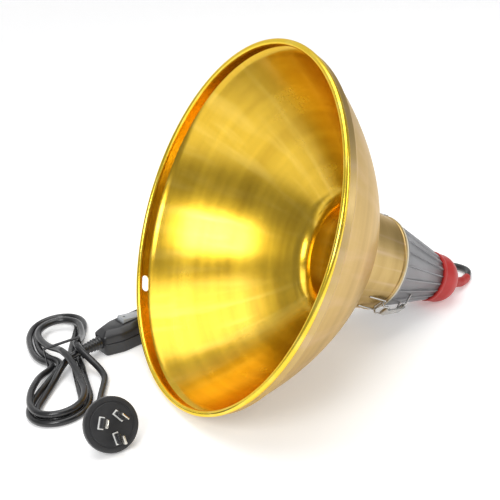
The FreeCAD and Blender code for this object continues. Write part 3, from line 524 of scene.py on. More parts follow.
def makeSpunGroup():
    # rings left by the spinning tool, fine and coarse, and radial streaks of painted sheen, from the
    # piece's own UV map: X round, Y along
    group, start, end = makeShaderGroup("spunRings", [
        ("Vector", "NodeSocketVector", None), ("Fine", "NodeSocketFloat", 260.0),
        ("Coarse", "NodeSocketFloat", 9.0)], [
        ("Lines", "NodeSocketFloat"), ("Bands", "NodeSocketFloat"), ("Streaks", "NodeSocketFloat")])
    split = group.nodes.new("ShaderNodeSeparateXYZ")
    group.links.new(start.outputs["Vector"], split.inputs[0])
    angle = mathNode(group, "MULTIPLY", split.outputs["X"], fullTurn)
    x = mathNode(group, "COSINE", angle)
    y = mathNode(group, "SINE", angle)
    along = split.outputs["Y"]

    def field(around, stretch):
        spot = group.nodes.new("ShaderNodeCombineXYZ")
        group.links.new(mathNode(group, "MULTIPLY", x, around), spot.inputs["X"])
        group.links.new(mathNode(group, "MULTIPLY", y, around), spot.inputs["Y"])
        group.links.new(mathNode(group, "MULTIPLY", along, stretch), spot.inputs["Z"])
        return spot.outputs[0]

    group.links.new(noiseNode(group, field(0.35, start.outputs["Fine"]), 1.0, 2.0), end.inputs["Lines"])
    group.links.new(noiseNode(group, field(0.5, start.outputs["Coarse"]), 1.0, 4.0),
                    end.inputs["Bands"])
    # radial streaks, narrow round the piece and long along it: a painted sheen, as satin metal's
    # highlight would streak
    group.links.new(noiseNode(group, field(9.0, 1.2), 1.0, 3.0), end.inputs["Streaks"])
    return group


def makeGrainGroup():
    # fine moulded grain with broad mottling
    group, start, end = makeShaderGroup("mouldedGrain", [
        ("Vector", "NodeSocketVector", None), ("Fine", "NodeSocketFloat", 1400.0),
        ("Broad", "NodeSocketFloat", 60.0)], [("Grain", "NodeSocketFloat"),
                                              ("Mottle", "NodeSocketFloat")])
    group.links.new(noiseNode(group, start.outputs["Vector"], start.outputs["Fine"], 2.0),
                    end.inputs["Grain"])
    group.links.new(noiseNode(group, start.outputs["Vector"], start.outputs["Broad"], 4.0),
                    end.inputs["Mottle"])
    return group


def makeScratchGroup():
    # short handling scratches and dull spots
    group, start, end = makeShaderGroup("handling", [
        ("Vector", "NodeSocketVector", None), ("Scale", "NodeSocketFloat", 40.0)], [
        ("Scratch", "NodeSocketFloat"), ("Smudge", "NodeSocketFloat")])
    stretch = group.nodes.new("ShaderNodeMapping")
    stretch.inputs["Rotation"].default_value = (0.4, 0.7, 0.3)
    stretch.inputs["Scale"].default_value = (1.0, 14.0, 5.0)
    group.links.new(start.outputs["Vector"], stretch.inputs["Vector"])
    thin = noiseNode(group, stretch.outputs[0], start.outputs["Scale"], 2.0, 0.4)
    group.links.new(rangeNode(group, thin, 0.66, 0.74), end.inputs["Scratch"])
    wide = noiseNode(group, start.outputs["Vector"], start.outputs["Scale"], 5.0, 0.6)
    group.links.new(rangeNode(group, wide, 0.35, 0.7), end.inputs["Smudge"])
    return group


spunGroup = makeSpunGroup()
grainGroup = makeGrainGroup()
scratchGroup = makeScratchGroup()


def newMaterial(name):
    material = bpy.data.materials.new(name)
    material.use_nodes = True
    tree = material.node_tree
    return material, tree, tree.nodes["Principled BSDF"]


def groupNode(tree, group, source, **values):
    node = tree.nodes.new("ShaderNodeGroup")
    node.node_tree = group
    tree.links.new(source, node.inputs["Vector"])
    for label, number in values.items():
        node.inputs[label].default_value = number
    return node


def mixed(tree, mask, first, second):
    node = tree.nodes.new("ShaderNodeMix")
    node.data_type = "RGBA"
    tree.links.new(mask, node.inputs[0])
    for socketMade, colour in ((node.inputs[6], first), (node.inputs[7], second)):
        if isinstance(colour, tuple):
            socketMade.default_value = (*colour, 1.0)
        else:
            tree.links.new(colour, socketMade)
    return node.outputs[2]


def bumped(tree, shader, height, strength, distance):
    bump = tree.nodes.new("ShaderNodeBump")
    bump.inputs["Strength"].default_value = strength
    bump.inputs["Distance"].default_value = distance
    tree.links.new(height, bump.inputs["Height"])
    tree.links.new(bump.outputs[0], shader.inputs["Normal"])


bumpDepth = 0.0002


def spunMetal(name, light, dark, polish, sheenStreakColour, lines=0.12, edge=(0.95, 0.75, 0.40),
              clear=0.3):
    material, tree, shader = newMaterial(name)
    coords = tree.nodes.new("ShaderNodeTexCoord")
    rings = groupNode(tree, spunGroup, coords.outputs["UV"])
    wear = groupNode(tree, scratchGroup, coords.outputs["Object"], Scale=26.0)
    base = mixed(tree, rangeNode(tree, rings.outputs["Bands"], 0.3, 0.7), dark, light)
    # lighter radial streaks of painted sheen mixed into the base colour
    sheenTinted = mixed(tree, rangeNode(tree, rings.outputs["Streaks"], 0.5, 0.75, 0.0, 0.55), base,
                   sheenStreakColour)
    tree.links.new(sheenTinted, shader.inputs["Base Color"])
    shader.inputs["Metallic"].default_value = 1.0
    shader.inputs["Specular Tint"].default_value = (*edge, 1.0)
    shader.inputs["Coat Weight"].default_value = clear
    shader.inputs["Coat Roughness"].default_value = 0.16
    rough = mathNode(tree, "MULTIPLY_ADD", rings.outputs["Bands"], 0.10)
    rough.node.inputs[2].default_value = polish - 0.05
    worn = mathNode(tree, "MULTIPLY_ADD", wear.outputs["Smudge"], 0.06)
    tree.links.new(rough, worn.node.inputs[2])
    tree.links.new(worn, shader.inputs["Roughness"])
    bumped(tree, shader, rings.outputs["Lines"], lines, bumpDepth)
    return material


def grained(name, light, dark, polish, fine, strength, broad, spotScale, spotShare):
    material, tree, shader = newMaterial(name)
    coords = tree.nodes.new("ShaderNodeTexCoord")
    grain = groupNode(tree, grainGroup, coords.outputs["Object"], Fine=fine, Broad=broad)
    wear = groupNode(tree, scratchGroup, coords.outputs["Object"], Scale=spotScale)
    tree.links.new(mixed(tree, rangeNode(tree, grain.outputs["Mottle"], 0.3, 0.7), dark, light),
                   shader.inputs["Base Color"])
    rough = mathNode(tree, "MULTIPLY_ADD", wear.outputs["Smudge"], spotShare)
    rough.node.inputs[2].default_value = polish - 0.04
    tree.links.new(rough, shader.inputs["Roughness"])
    bumped(tree, shader, grain.outputs["Grain"], strength, bumpDepth)
    return material, shader


def plainMetal(name, light, dark, polish, metal=1.0, fine=900.0, strength=0.15):
    material, shader = grained(name, light, dark, polish, fine, strength, 45.0, 90.0, 0.12)
    shader.inputs["Metallic"].default_value = metal
    return material


def moulded(name, light, dark, polish, coat=0.0, fine=1400.0, strength=0.1):
    material, shader = grained(name, light, dark, polish, fine, strength, 55.0, 60.0, 0.10)
    shader.inputs["Coat Weight"].default_value = coat
    shader.inputs["Coat Roughness"].default_value = 0.12
    return material


# for the spun golds the fourth colour is that of the painted sheen streaks
finishRows = {
    "goldOutside": (spunMetal, (0.60, 0.43, 0.18), (0.46, 0.32, 0.12), 0.36, (0.64, 0.47, 0.31), 0.12,
                             (0.95, 0.80, 0.55), 0.2),
    "goldInside": (spunMetal, (0.78, 0.50, 0.030), (0.58, 0.35, 0.012), 0.22, (0.86, 0.60, 0.10), 0.08,
                            (0.90, 0.65, 0.18), 0.5),
    # the rolled rim: polished gold, coloured lighter and yellower than the bowl's gold as a painted
    # highlight on the bead
    "goldRim": (spunMetal, (0.96, 0.72, 0.06), (0.86, 0.58, 0.04), 0.22, (0.97, 0.80, 0.20), 0.05),
    "creamTrim": (moulded, (0.78, 0.72, 0.56), (0.70, 0.64, 0.48), 0.42),
    "greyCasting": (plainMetal, (0.36, 0.36, 0.37), (0.23, 0.23, 0.24), 0.42, 0.75, 700.0, 0.25),
    "redCap": (moulded, (0.52, 0.018, 0.014), (0.42, 0.011, 0.009), 0.42, 0.0, 900.0, 0.06),
    "redBoot": (moulded, (0.50, 0.020, 0.016), (0.40, 0.013, 0.010), 0.46, 0.0, 900.0, 0.10),
    "blackCord": (moulded, (0.016, 0.016, 0.018), (0.008, 0.008, 0.009), 0.30, 0.35, 800.0, 0.10),
    "blackShell": (moulded, (0.020, 0.020, 0.022), (0.010, 0.010, 0.011), 0.34, 0.25, 2200.0, 0.12),
    "plugFront": (moulded, (0.030, 0.030, 0.032), (0.014, 0.014, 0.015), 0.42, 0.10, 2000.0, 0.14),
    "silverRocker": (moulded, (0.42, 0.44, 0.46), (0.32, 0.34, 0.36), 0.22, 0.6, 600.0, 0.04),
    "whiteCollar": (moulded, (0.80, 0.80, 0.78), (0.70, 0.70, 0.68), 0.40),
    "darkSleeve": (moulded, (0.030, 0.030, 0.034), (0.016, 0.016, 0.018), 0.45),
    "brightWire": (plainMetal, (0.66, 0.65, 0.63), (0.50, 0.49, 0.47), 0.24, 1.0, 1500.0, 0.08),
    "zincSteel": (plainMetal, (0.56, 0.56, 0.55), (0.42, 0.42, 0.41), 0.36, 1.0),
    "nickelPin": (plainMetal, (0.78, 0.76, 0.70), (0.64, 0.61, 0.54), 0.20, 1.0, 1200.0, 0.05),
    "socketBrass": (plainMetal, (0.74, 0.62, 0.36), (0.58, 0.47, 0.24), 0.30, 1.0),
    "porcelain": (moulded, (0.80, 0.79, 0.75), (0.72, 0.71, 0.66), 0.22, 0.6, 300.0, 0.05),
    "brownCore": (moulded, (0.16, 0.06, 0.03), (0.10, 0.04, 0.02), 0.45),
    "blueCore": (moulded, (0.03, 0.10, 0.36), (0.02, 0.07, 0.26), 0.45),
    "greenCore": (moulded, (0.16, 0.34, 0.05), (0.34, 0.36, 0.03), 0.45),
}
finishes = {name: make(name, *values) for name, (make, *values) in finishRows.items()}
print("materials made")


def finished(piece, finish, place, body, nodes):
    dressed(piece, finishes[finish])
    placed(piece, place)
    return settle(piece, body, nodes)


# shade: spun in one piece with a rolled rim and a rolled neck edge

shadeSize = {
    "rim": 0.140, "rimBead": 0.0023, "band": 0.1376, "bandDepth": 0.011, "step": 0.0022, "wall": 0.001,
    "bowlArc": 0.250, "bowlEnd": 0.0515, "bowlDepth": 0.099, "throatArc": 0.014,
    "neckRoot": 0.042, "neckRootDepth": 0.108, "neck": 0.0366, "neckDepth": 0.141, "neckBead": 0.0016,
    "slotLength": 0.014, "slotWidth": 0.006, "slotDepth": 0.0076, "slotAngle": 50.5,
}


def makeShade(s):
    wall = s["wall"]
    bandLow = s["bandDepth"] + 0.0012
    stepped = s["band"] - s["step"]
    beadCentre = (s["rim"] - s["rimBead"], s["rimBead"])
    curl = roundPoints((s["neck"], s["neckDepth"]), s["neckBead"], 180, -62, 16)
    outside = arcPoints((stepped, bandLow), (s["bowlEnd"], s["bowlDepth"]), s["bowlArc"], -1, 48)
    throat = arcPoints((s["bowlEnd"], s["bowlDepth"]), (s["neckRoot"], s["neckRootDepth"]),
                       s["throatArc"], 1, 10)
    rolled = roundPoints(beadCentre, s["rimBead"], 92, -236, 32)
    inside = arcPoints((s["bowlEnd"] - wall * 0.6, s["bowlDepth"] - wall * 0.8),
                       (stepped - wall * 0.9, bandLow - wall * 0.5), s["bowlArc"] - wall, 1, 48)
    insideThroat = arcPoints((s["neckRoot"] - wall, s["neckRootDepth"]),
                             (s["bowlEnd"] - wall * 0.6, s["bowlDepth"] - wall * 0.8),
                             s["throatArc"] + wall, -1, 10)
    profile = list(curl)
    profile += list(reversed(throat))
    profile += list(reversed(outside))[1:]
    profile += [(s["band"] - 0.0006, s["bandDepth"] + 0.0003), (s["band"], s["bandDepth"] - 0.0006)]
    outerEnd = len(profile)
    profile += rolled
    rimEnd = len(profile)
    profile += [(s["band"] - wall, s["bandDepth"] - 0.001)]
    profile += list(reversed(inside))
    profile += list(reversed(insideThroat))[1:]
    profile += [(s["neck"] - wall, s["neckDepth"] - 0.001)]

    def marks(i):
        if i < outerEnd:
            return 0
        return 2 if i < rimEnd - 1 else 1

    shade = lathe("spunShade", profile, 256, True, 30, marks)
    # outside, inside and rim finishes; the rim's lighter gold is a painted highlight
    dressed(shade, finishes["goldOutside"], finishes["goldInside"], finishes["goldRim"])
    half = (s["slotLength"] - s["slotWidth"]) / 2
    ends = []
    for side in (1, -1):
        ends += [(side * half + s["slotWidth"] / 2 * math.cos(math.radians(t)),
                  s["slotWidth"] / 2 * math.sin(math.radians(t)))
                 for t in range(-90 if side > 0 else 90, 91 if side > 0 else 271, 15)]
    tool = prism("slotTool", ends, [(-0.006, 0.0), (0.006, 0.0)])
    dressed(tool, finishes["goldRim"])
    turn = math.radians(s["slotAngle"])
    out = Vector((math.cos(turn), math.sin(turn), 0))
    across = Vector((-math.sin(turn), math.cos(turn), 0))
    axes = Matrix((across, out.cross(across), out)).transposed()
    middle = out * (s["band"] - wall / 2) + Vector((0, 0, s["slotDepth"]))
    tool.matrix_world = Matrix.Translation(middle) @ axes.to_4x4()
    bpy.context.view_layer.update()
    carved(shade, tool)
    placed(shade, lampMatrix)
    return settle(shade, lampBody, ["shade"])


makeShade(shadeSize)
print("shade made")


# neck ring, ribbed housing and red cap

headSize = {
    "ringInner": 0.0350, "ringOuter": 0.0374, "ringLow": 0.1426, "ringThick": 0.0017,
    "spigot": 0.0344, "spigotLength": 0.009, "length": 0.0532, "base": 0.0364, "nose": 0.0203,
    "ribHeight": 0.0016, "ribThick": 0.0013, "ribs": 20, "wall": 0.002, "noseRadius": 0.0182,
    "noseLength": 0.0065,
    "cap": 0.0209, "capTaper": 0.0009, "capSkirt": 0.010, "capDome": 0.0245, "capHole": 0.0050,
    "capWall": 0.0017, "capFlat": 0.0045,
}


def makeNeckRing(s):
    low, high = s["ringLow"], s["ringLow"] + s["ringThick"]
    edge = 0.0004
    profile = [(s["ringInner"], low), (s["ringOuter"] - edge, low), (s["ringOuter"], low + edge),
               (s["ringOuter"], high - edge), (s["ringOuter"] - edge, high), (s["ringInner"], high)]
    ring = lathe("creamRing", profile, 160, True, 50)
    finished(ring, "creamTrim", lampMatrix, lampBody, ["neck_ring"])


def makeHousing(s):
    start = s["ringLow"] + s["ringThick"]
    end = start + s["length"]
    wall = s["wall"]
    base, nose = s["base"] - s["ribHeight"], s["nose"] - s["ribHeight"]
    profile = [(s["spigot"] - wall, start - s["spigotLength"]),
               (s["spigot"], start - s["spigotLength"]),
               (s["spigot"], start), (s["base"] - 0.0004, start), (s["base"], start + 0.0004),
               (s["base"], start + wall - 0.0005), (s["base"] - 0.0005, start + wall),
               (base + 0.0003, start + wall), (base, start + wall + 0.0003),
               (nose + 0.0001, end - 0.0003), (nose - 0.0002, end), (s["noseRadius"], end),
               (s["noseRadius"], end + s["noseLength"]),
               (s["noseRadius"] - wall, end + s["noseLength"]),
               (s["noseRadius"] - wall, end - wall), (base - wall, start + 2 * wall),
               (s["spigot"] - wall, start + wall)]
    shell = lathe("housingCone", profile, 160, True, 30)
    dressed(shell, finishes["greyCasting"])

    # one rib: a rounded bar that follows the cone, then copied round it
    bm = bmesh.new()
    rows = []
    halfThick = s["ribThick"] / 2
    count = 12
    for i in range(count + 1):
        part = i / count
        a = start + wall - 0.0004 + part * (end - start - wall + 0.0002)
        top = s["base"] + (s["nose"] - s["base"]) * (a - start) / (end - start)
        lift = min(1.0, 0.55 + 4 * part, 0.55 + 6 * (1 - part))
        crest = top - s["ribHeight"] * (1 - lift)
        root = top - s["ribHeight"] - 0.0006
        section = [(-halfThick * 1.35, root), (-halfThick, crest - 0.0007),
                   (-halfThick * 0.6, crest - 0.0001),
                   (0, crest), (halfThick * 0.6, crest - 0.0001), (halfThick, crest - 0.0007),
                   (halfThick * 1.35, root)]
        rows.append([bm.verts.new((r, y, a)) for y, r in section])
    for low, high in zip(rows, rows[1:]):
        for k in range(len(low)):
            j = (k + 1) % len(low)
            bm.faces.new((low[k], low[j], high[j], high[k]))
    bm.faces.new(rows[0])
    bm.faces.new(rows[-1])
    rib = finishMesh("housingRib", bm, 40)
    dressed(rib, finishes["greyCasting"])
    repeated(rib, ringTree, Count=s["ribs"], First_Angle=0.0, Material=finishes["greyCasting"])
    housing = joined("ribbedHousing", [shell, rib])
    housing.data.set_sharp_from_angle(angle=math.radians(35))
    placed(housing, lampMatrix)
    settle(housing, lampBody, ["socket_housing"])


def makeCap(s):
    low = s["ringLow"] + s["ringThick"] + s["length"]
    skirt, tip = low + s["capSkirt"], low + s["capDome"]
    inner = s["noseRadius"] + 0.0002
    edge = s["cap"] - s["capTaper"]
    outside = arcPoints((edge, skirt), (s["capHole"] + 0.0012, tip), s["cap"] - s["capFlat"], -1, 28)
    under = arcPoints((s["capHole"], tip - s["capWall"]), (s["cap"] - s["capWall"] - 0.0011, skirt),
                      s["cap"] - s["capFlat"] - 0.001, 1, 20)
    profile = [(inner, low), (s["cap"] - 0.0007, low), (s["cap"] - 0.0002, low + 0.0002),
               (s["cap"], low + 0.0007),
               (s["cap"] - 0.0001, low + 0.0020), (s["cap"] - 0.0005, low + 0.0024),
               (s["cap"] - 0.0006, low + 0.0040)]
    profile += outside
    profile += [(s["capHole"] + 0.0007, tip + 0.0003), (s["capHole"], tip)]
    profile += under
    profile += [(inner, skirt - 0.002)]
    cap = lathe("redEndCap", profile, 160, True, 50)
    finished(cap, "redCap", lampMatrix, lampBody, ["end_cap"])


makeNeckRing(headSize)
makeHousing(headSize)
makeCap(headSize)
print("ring, housing and cap made")


# the red boot at the cap, and the black ones at the switch and the plug

bootSize = {"start": 0.222, "root": 0.00465, "tip": 0.0034, "turn": 40.0, "tube": 0.0028, "grooves": 3}


def makeCapBoot(s):
    tip = laid(cords["lampSide"][0])
    begin = lampMatrix @ Vector((0, 0, s["start"]))
    wayIn = alongAxis
    wayOut = Vector((math.cos(math.radians(s["turn"])), math.sin(math.radians(s["turn"])), 0))
    chord = (tip - begin).length
    bend = wayIn.angle(wayOut)
    radius = chord / (2 * math.sin(bend / 2))
    inward = (wayOut - wayIn).normalized()
    middle = begin + wayIn * (radius * math.tan(bend / 2))
    centre = middle + inward * (radius / math.cos(bend / 2))
    spots, radii = [begin - wayIn * 0.0040, begin - wayIn * 0.0012], [s["root"], s["root"]]
    count = 30
    for i in range(count + 1):
        part = i / count
        angle = bend * part
        turned = Matrix.Rotation(angle, 3, wayIn.cross(wayOut).normalized())
        spots.append(centre + turned @ (begin - centre))
        size = s["root"] + (s["tip"] - s["root"]) * part
        ripple = 0.00012 * math.cos(part * s["grooves"] * 2 * math.pi) if 0.1 < part < 0.75 else 0.0
        lip = -0.0007 if i == count else (-0.00025 if i == count - 1 else 0.0)
        radii.append(size - ripple + lip)
    boot = sweep("redCordBoot", spots, radii, 40, s["tube"])
    dressed(boot, finishes["redBoot"])
    settle(boot, lampBody, ["cord_boot"])


switchSize = {
    "place": (-57.0, 103.0), "turn": 10.0, "length": 0.062, "width": 0.027, "height": 0.021,
    "end": 0.016,
    "shoulder": 0.015, "wall": 0.002, "boot": 0.017, "bootRoot": 0.0049, "bootTip": 0.0036, "ribs": 5,
    "rockerLength": 0.019, "rockerWidth": 0.011, "gap": 0.00035, "pivot": 0.0195,
}


def switchMatrixOf(s):
    base = laid((s["place"][0], s["place"][1], 0))
    return Matrix.Translation(base) @ Matrix.Rotation(math.radians(s["turn"]), 4, "Z")


def switchOutline(s, inset=0.0):
    long, wide, knee = s["length"] / 2, s["width"] / 2, s["length"] / 2 - s["shoulder"]
    end = s["end"] / 2
    corners = insetOutline([(-long, -end), (-knee, -wide), (knee, -wide), (long, -end),
                            (long, end), (knee, wide), (-knee, wide), (-long, end)], inset)
    cut = max(0.0010, 0.0026 - inset * 0.25)
    rounded = []
    for i, corner in enumerate(corners):
        before, here, after = Vector(corners[i - 1]), Vector(corner), Vector(corners[(i + 1) % 8])
        p = here + (before - here).normalized() * cut
        q = here + (after - here).normalized() * cut
        for t in (0.0, 0.25, 0.5, 0.75, 1.0):
            spot = p * (1 - t) ** 2 + here * 2 * t * (1 - t) + q * t ** 2
            rounded.append((spot.x, spot.y))
    return rounded


def switchShell(s, name, levels, sharp):
    return stacked(name, [(height, switchOutline(s, inset)) for height, inset in levels], sharp)


def makeSwitch(s):
    place = switchMatrixOf(s)
    half = s["height"] / 2
    base = switchShell(s, "switchBottom", [
        (0.0, 0.0012), (0.0003, 0.0006), (0.0010, 0.0001), (0.0020, 0.0), (half - 0.0006, 0.0),
        (half - 0.00015, 0.0004)], 38)
    finished(base, "blackShell", place, lampBody, ["switch_base"])

    top = s["height"]
    cover = switchShell(s, "switchTop", [
        (half + 0.00015, 0.0004), (half + 0.0006, 0.0), (top - 0.0052, 0.0), (top - 0.0042, 0.0003),
        (top - 0.0034, 0.0010), (top - 0.0010, 0.0042), (top - 0.0004, 0.0049), (top, 0.0060)], 30)
    hx, hy = s["rockerLength"] / 2 + s["gap"], s["rockerWidth"] / 2 + s["gap"]
    window = slab("windowTool", hx, hy, [(half + 0.001, 0.0), (0.03, 0.0)])
    dressed(window, finishes["blackShell"])
    dressed(cover, finishes["blackShell"])
    carved(cover, window)
    placed(cover, place)
    settle(cover, lampBody, ["switch_cover"])

    # a thin raised frame round the rocker, open in the middle
    frameTop = top + 0.0005
    outer = [(-hx - 0.0012, -hy - 0.0012), (hx + 0.0012, -hy - 0.0012), (hx + 0.0012, hy + 0.0012),
             (-hx - 0.0012, hy + 0.0012)]
    trim = prism("rockerFrame", outer, [(top - 0.001, 0.0), (frameTop, 0.0002)])
    hole = slab("frameTool", hx, hy, [(top - 0.01, 0.0), (top + 0.01, 0.0)])
    dressed(trim, finishes["blackShell"])
    dressed(hole, finishes["blackShell"])
    carved(trim, hole)
    placed(trim, place)
    settle(trim, lampBody, ())

    halfLength, pivot = s["rockerLength"] / 2, s["pivot"]
    side = [(-halfLength + 0.0009, -0.004), (halfLength - 0.0009, -0.004), (halfLength, -0.001),
            (halfLength - 0.0001, 0.0018), (halfLength * 0.55, 0.0023), (0.002, 0.0030),
            (-0.003, 0.0039),
            (-halfLength + 0.0013, 0.0050), (-halfLength + 0.0001, 0.0019), (-halfLength, -0.001)]
    width = s["rockerWidth"] / 2
    rocker = prism("silverRocker", side, [(-width, 0.0), (width, 0.0)], 25)
    dressed(rocker, finishes["silverRocker"])
    bevelled(rocker, 0.0004, 3, 20)
    stand = Matrix.Translation((0, 0, pivot)) @ Matrix.Rotation(math.pi / 2, 4, "X")
    placed(rocker, place @ stand)
    # the dark dot on its raised half, a little cup let into the top
    dot = lathe("rockerDot", [(0, 0.0002), (0.0009, 0.0002), (0.0011, 0.0), (0.0011, -0.0006),
                              (0, -0.0006)],
                24, False, 40)
    dressed(dot, finishes["darkSleeve"])
    lean = math.atan2(0.0011, halfLength - 0.0043)
    seat = place @ Matrix.Translation((-0.0052, 0, pivot + 0.0043))
    placed(dot, seat @ Matrix.Rotation(lean, 4, "Y"))
    both = joined("switchRockerPiece", [rocker, dot])
    settle(both, "switch_rocker", ["switch_rocker"])

    for name, side in (("switch_boot_plug", -1), ("switch_boot_lamp", 1)):
        length = s["boot"]
        profile = [(cords["radius"], 0.0), (0.0056, 0.0), (0.0056, 0.0016), (0.0052, 0.0020),
                   (s["bootRoot"], 0.0023), (s["bootTip"] + 0.0002, length - 0.0006),
                   (s["bootTip"] - 0.0003, length), (cords["radius"], length)]
        core = lathe(name + "Core", profile, 40, True, 40)
        dressed(core, finishes["blackCord"])
        core.data.transform(Matrix.Rotation(math.pi / 2, 4, "Y"))
        ribProfile = [(0.0040, 0.0), (0.0052, 0.00005), (0.0054, 0.0003), (0.0054, 0.0009),
                      (0.0052, 0.00115), (0.0040, 0.0012)]
        rib = lathe(name + "Rib", ribProfile, 40, True, 40)
        dressed(rib, finishes["blackCord"])
        rib.data.transform(Matrix.Translation((0.0036, 0, 0)) @ Matrix.Rotation(math.pi / 2, 4, "Y"))
        repeated(rib, rowTree, Count=s["ribs"], Step=0.0026, Shrink=0.052,
                 Material=finishes["blackCord"])
        boot = joined(name + "Piece", [core, rib])
        boot.data.set_sharp_from_angle(angle=math.radians(40))
        turn = Matrix.Rotation(0.0 if side > 0 else math.pi, 4, "Z")
        placed(boot, place @ Matrix.Translation((side * s["length"] / 2, 0, half)) @ turn)
        settle(boot, lampBody, [name])


plugSize = {
    "face": (-122.4, -37.4), "way": (0.093, -0.9957), "lift": 25.0, "radius": 0.020, "rim": 0.006,
    "body": 0.029, "back": 0.0076, "bootTip": 0.0035, "bootWay": (0.42, 0.9075),
    "pinWidth": 0.00635, "pinThick": 0.00163, "pinLength": 0.01706, "earthLength": 0.01994,
    "pinOffset": 0.00792, "earthOffset": 0.01031, "sleeve": 0.0085,
}


def makePlug(s):
    lift = math.radians(s["lift"])
    height = s["radius"] * math.cos(lift) + (s["rim"] - 0.0012) * math.sin(lift) + 0.00005
    face = laid((s["face"][0], s["face"][1], height / mm))
    way = Vector((s["way"][0] * math.cos(lift), s["way"][1] * math.cos(lift), math.sin(lift)))
    sideWay = Vector((-s["way"][1], s["way"][0], 0))
    upWay = way.cross(sideWay)
    place = Matrix.Translation(face) @ Matrix((sideWay, upWay, way)).transposed().to_4x4()

    rim, radius = s["rim"], s["radius"]
    frontProfile = [(0, 0), (0.0152, 0), (0.0156, -0.0004), (0.0162, -0.0004), (0.0166, 0),
                    (radius - 0.0014, 0),
                    (radius - 0.0004, -0.0003), (radius, -0.0012), (radius, -rim + 0.0014),
                    (radius - 0.0004, -rim + 0.0004), (radius - 0.0013, -rim), (0, -rim)]
    front = lathe("plugFrontFace", frontProfile, 128, False, 40)
    finished(front, "plugFront", place, lampBody, ["plug_face"])

    back = arcPoints((s["back"] + 0.0015, -s["body"] + 0.006), (radius - 0.0034, -rim - 0.00005),
                     0.030, 1, 16)
    rearProfile = [(0, -s["body"]), (s["back"] - 0.0006, -s["body"]),
                   (s["back"], -s["body"] + 0.0006)] + back
    rearProfile += [(0, -rim - 0.00005)]
    rear = lathe("plugRear", rearProfile, 96, False, 35)
    finished(rear, "blackShell", place, lampBody, ["plug_shell"])

    collars = []
    pins = {"active_pin": (s["pinOffset"], 60, 60, s["pinLength"]),
            "neutral_pin": (s["pinOffset"], -60, -60, s["pinLength"]),
            "earth_pin": (s["earthOffset"], 180, 90, s["earthLength"])}
    for name, (offset, angle, lean, length) in pins.items():
        spot = Matrix.Rotation(math.radians(angle), 4, "Z") @ Vector((0, offset, 0))
        base = Matrix.Translation(spot) @ Matrix.Rotation(math.radians(lean), 4, "Z")
        w, t = s["pinWidth"] / 2, s["pinThick"] / 2
        blade = slab(name + "Blade", w, t, [
            (-0.004, 0.0), (length - 0.0016, 0.0), (length - 0.0006, 0.00025), (length, 0.0006)])
        dressed(blade, finishes["nickelPin"])
        bevelled(blade, 0.00022, 2, 30)
        placed(blade, place @ base)
        settle(blade, lampBody, [name])
        cw, ct = w + 0.0013, t + 0.0013
        collar = slab(name + "Collar", cw, ct, [(-0.0003, 0.0), (0.0009, 0.0)])
        dressed(collar, finishes["whiteCollar"])
        bevelled(collar, 0.0003, 2, 30)
        placed(collar, place @ base)
        collars.append(collar)
        sw, st = w + 0.00045, t + 0.00045
        sleeve = slab(name + "Sleeve", sw, st, [
            (0.0002, 0.0), (s["sleeve"] - 0.0003, 0.0), (s["sleeve"], 0.0003)])
        dressed(sleeve, finishes["darkSleeve"])
        bevelled(sleeve, 0.00025, 2, 30)
        placed(sleeve, place @ base)
        collars.append(sleeve)
    trims = joined("pinCollarsAndSleeves", collars)
    settle(trims, lampBody, ["pin_sleeves"])

    # ribbed boot, bending down and to one side
    rearSpot = face - way * s["body"]
    wayIn = -way
    wayOut = Vector((*s["bootWay"], 0)).normalized()
    sink = (wayIn + wayOut).normalized()
    chord = (s["bootTip"] + 0.0001 - rearSpot.z) / sink.z
    bend = wayIn.angle(wayOut)
    turnRadius = chord / (2 * math.sin(bend / 2))
    inward = (wayOut - wayIn).normalized()
    corner = rearSpot + wayIn * (turnRadius * math.tan(bend / 2))
    centre = corner + inward * (turnRadius / math.cos(bend / 2))
    spots, radii = [], []
    count = 60
    for i in range(count + 1):
        part = i / count
        turned = Matrix.Rotation(bend * part, 3, wayIn.cross(wayOut).normalized())
        spots.append(centre + turned @ (rearSpot - centre))
        size = 0.0050 + (s["bootTip"] - 0.0050) * part
        ribbed = 0.0006 * (0.5 - 0.5 * math.copysign(min(1.0, abs(3 * math.sin(part * 12 * math.pi))),
                                                     math.sin(part * 12 * math.pi)))
        radii.append(size - (ribbed if 0.08 < part < 0.93 else 0.0))
    boot = sweep("plugCordBoot", spots, radii, 36, cords["radius"])
    dressed(boot, finishes["blackCord"])
    settle(boot, lampBody, ["plug_boot"])
    return place


makeCapBoot(bootSize)
makeSwitch(switchSize)
makePlug(plugSize)
print("boots, switch and plug made")


# lampholder: porcelain body, threaded shell and centre contact

holderSize = {"radius": 0.0205, "mouth": 0.119, "length": 0.032, "tail": 0.015, "tailLength": 0.016,
              "bore": 0.0134, "shellWall": 0.0006, "shellLength": 0.0186, "pitch": 0.00363,
              "contact": 0.005, "recess": 0.0104, "recessLength": 0.0054}


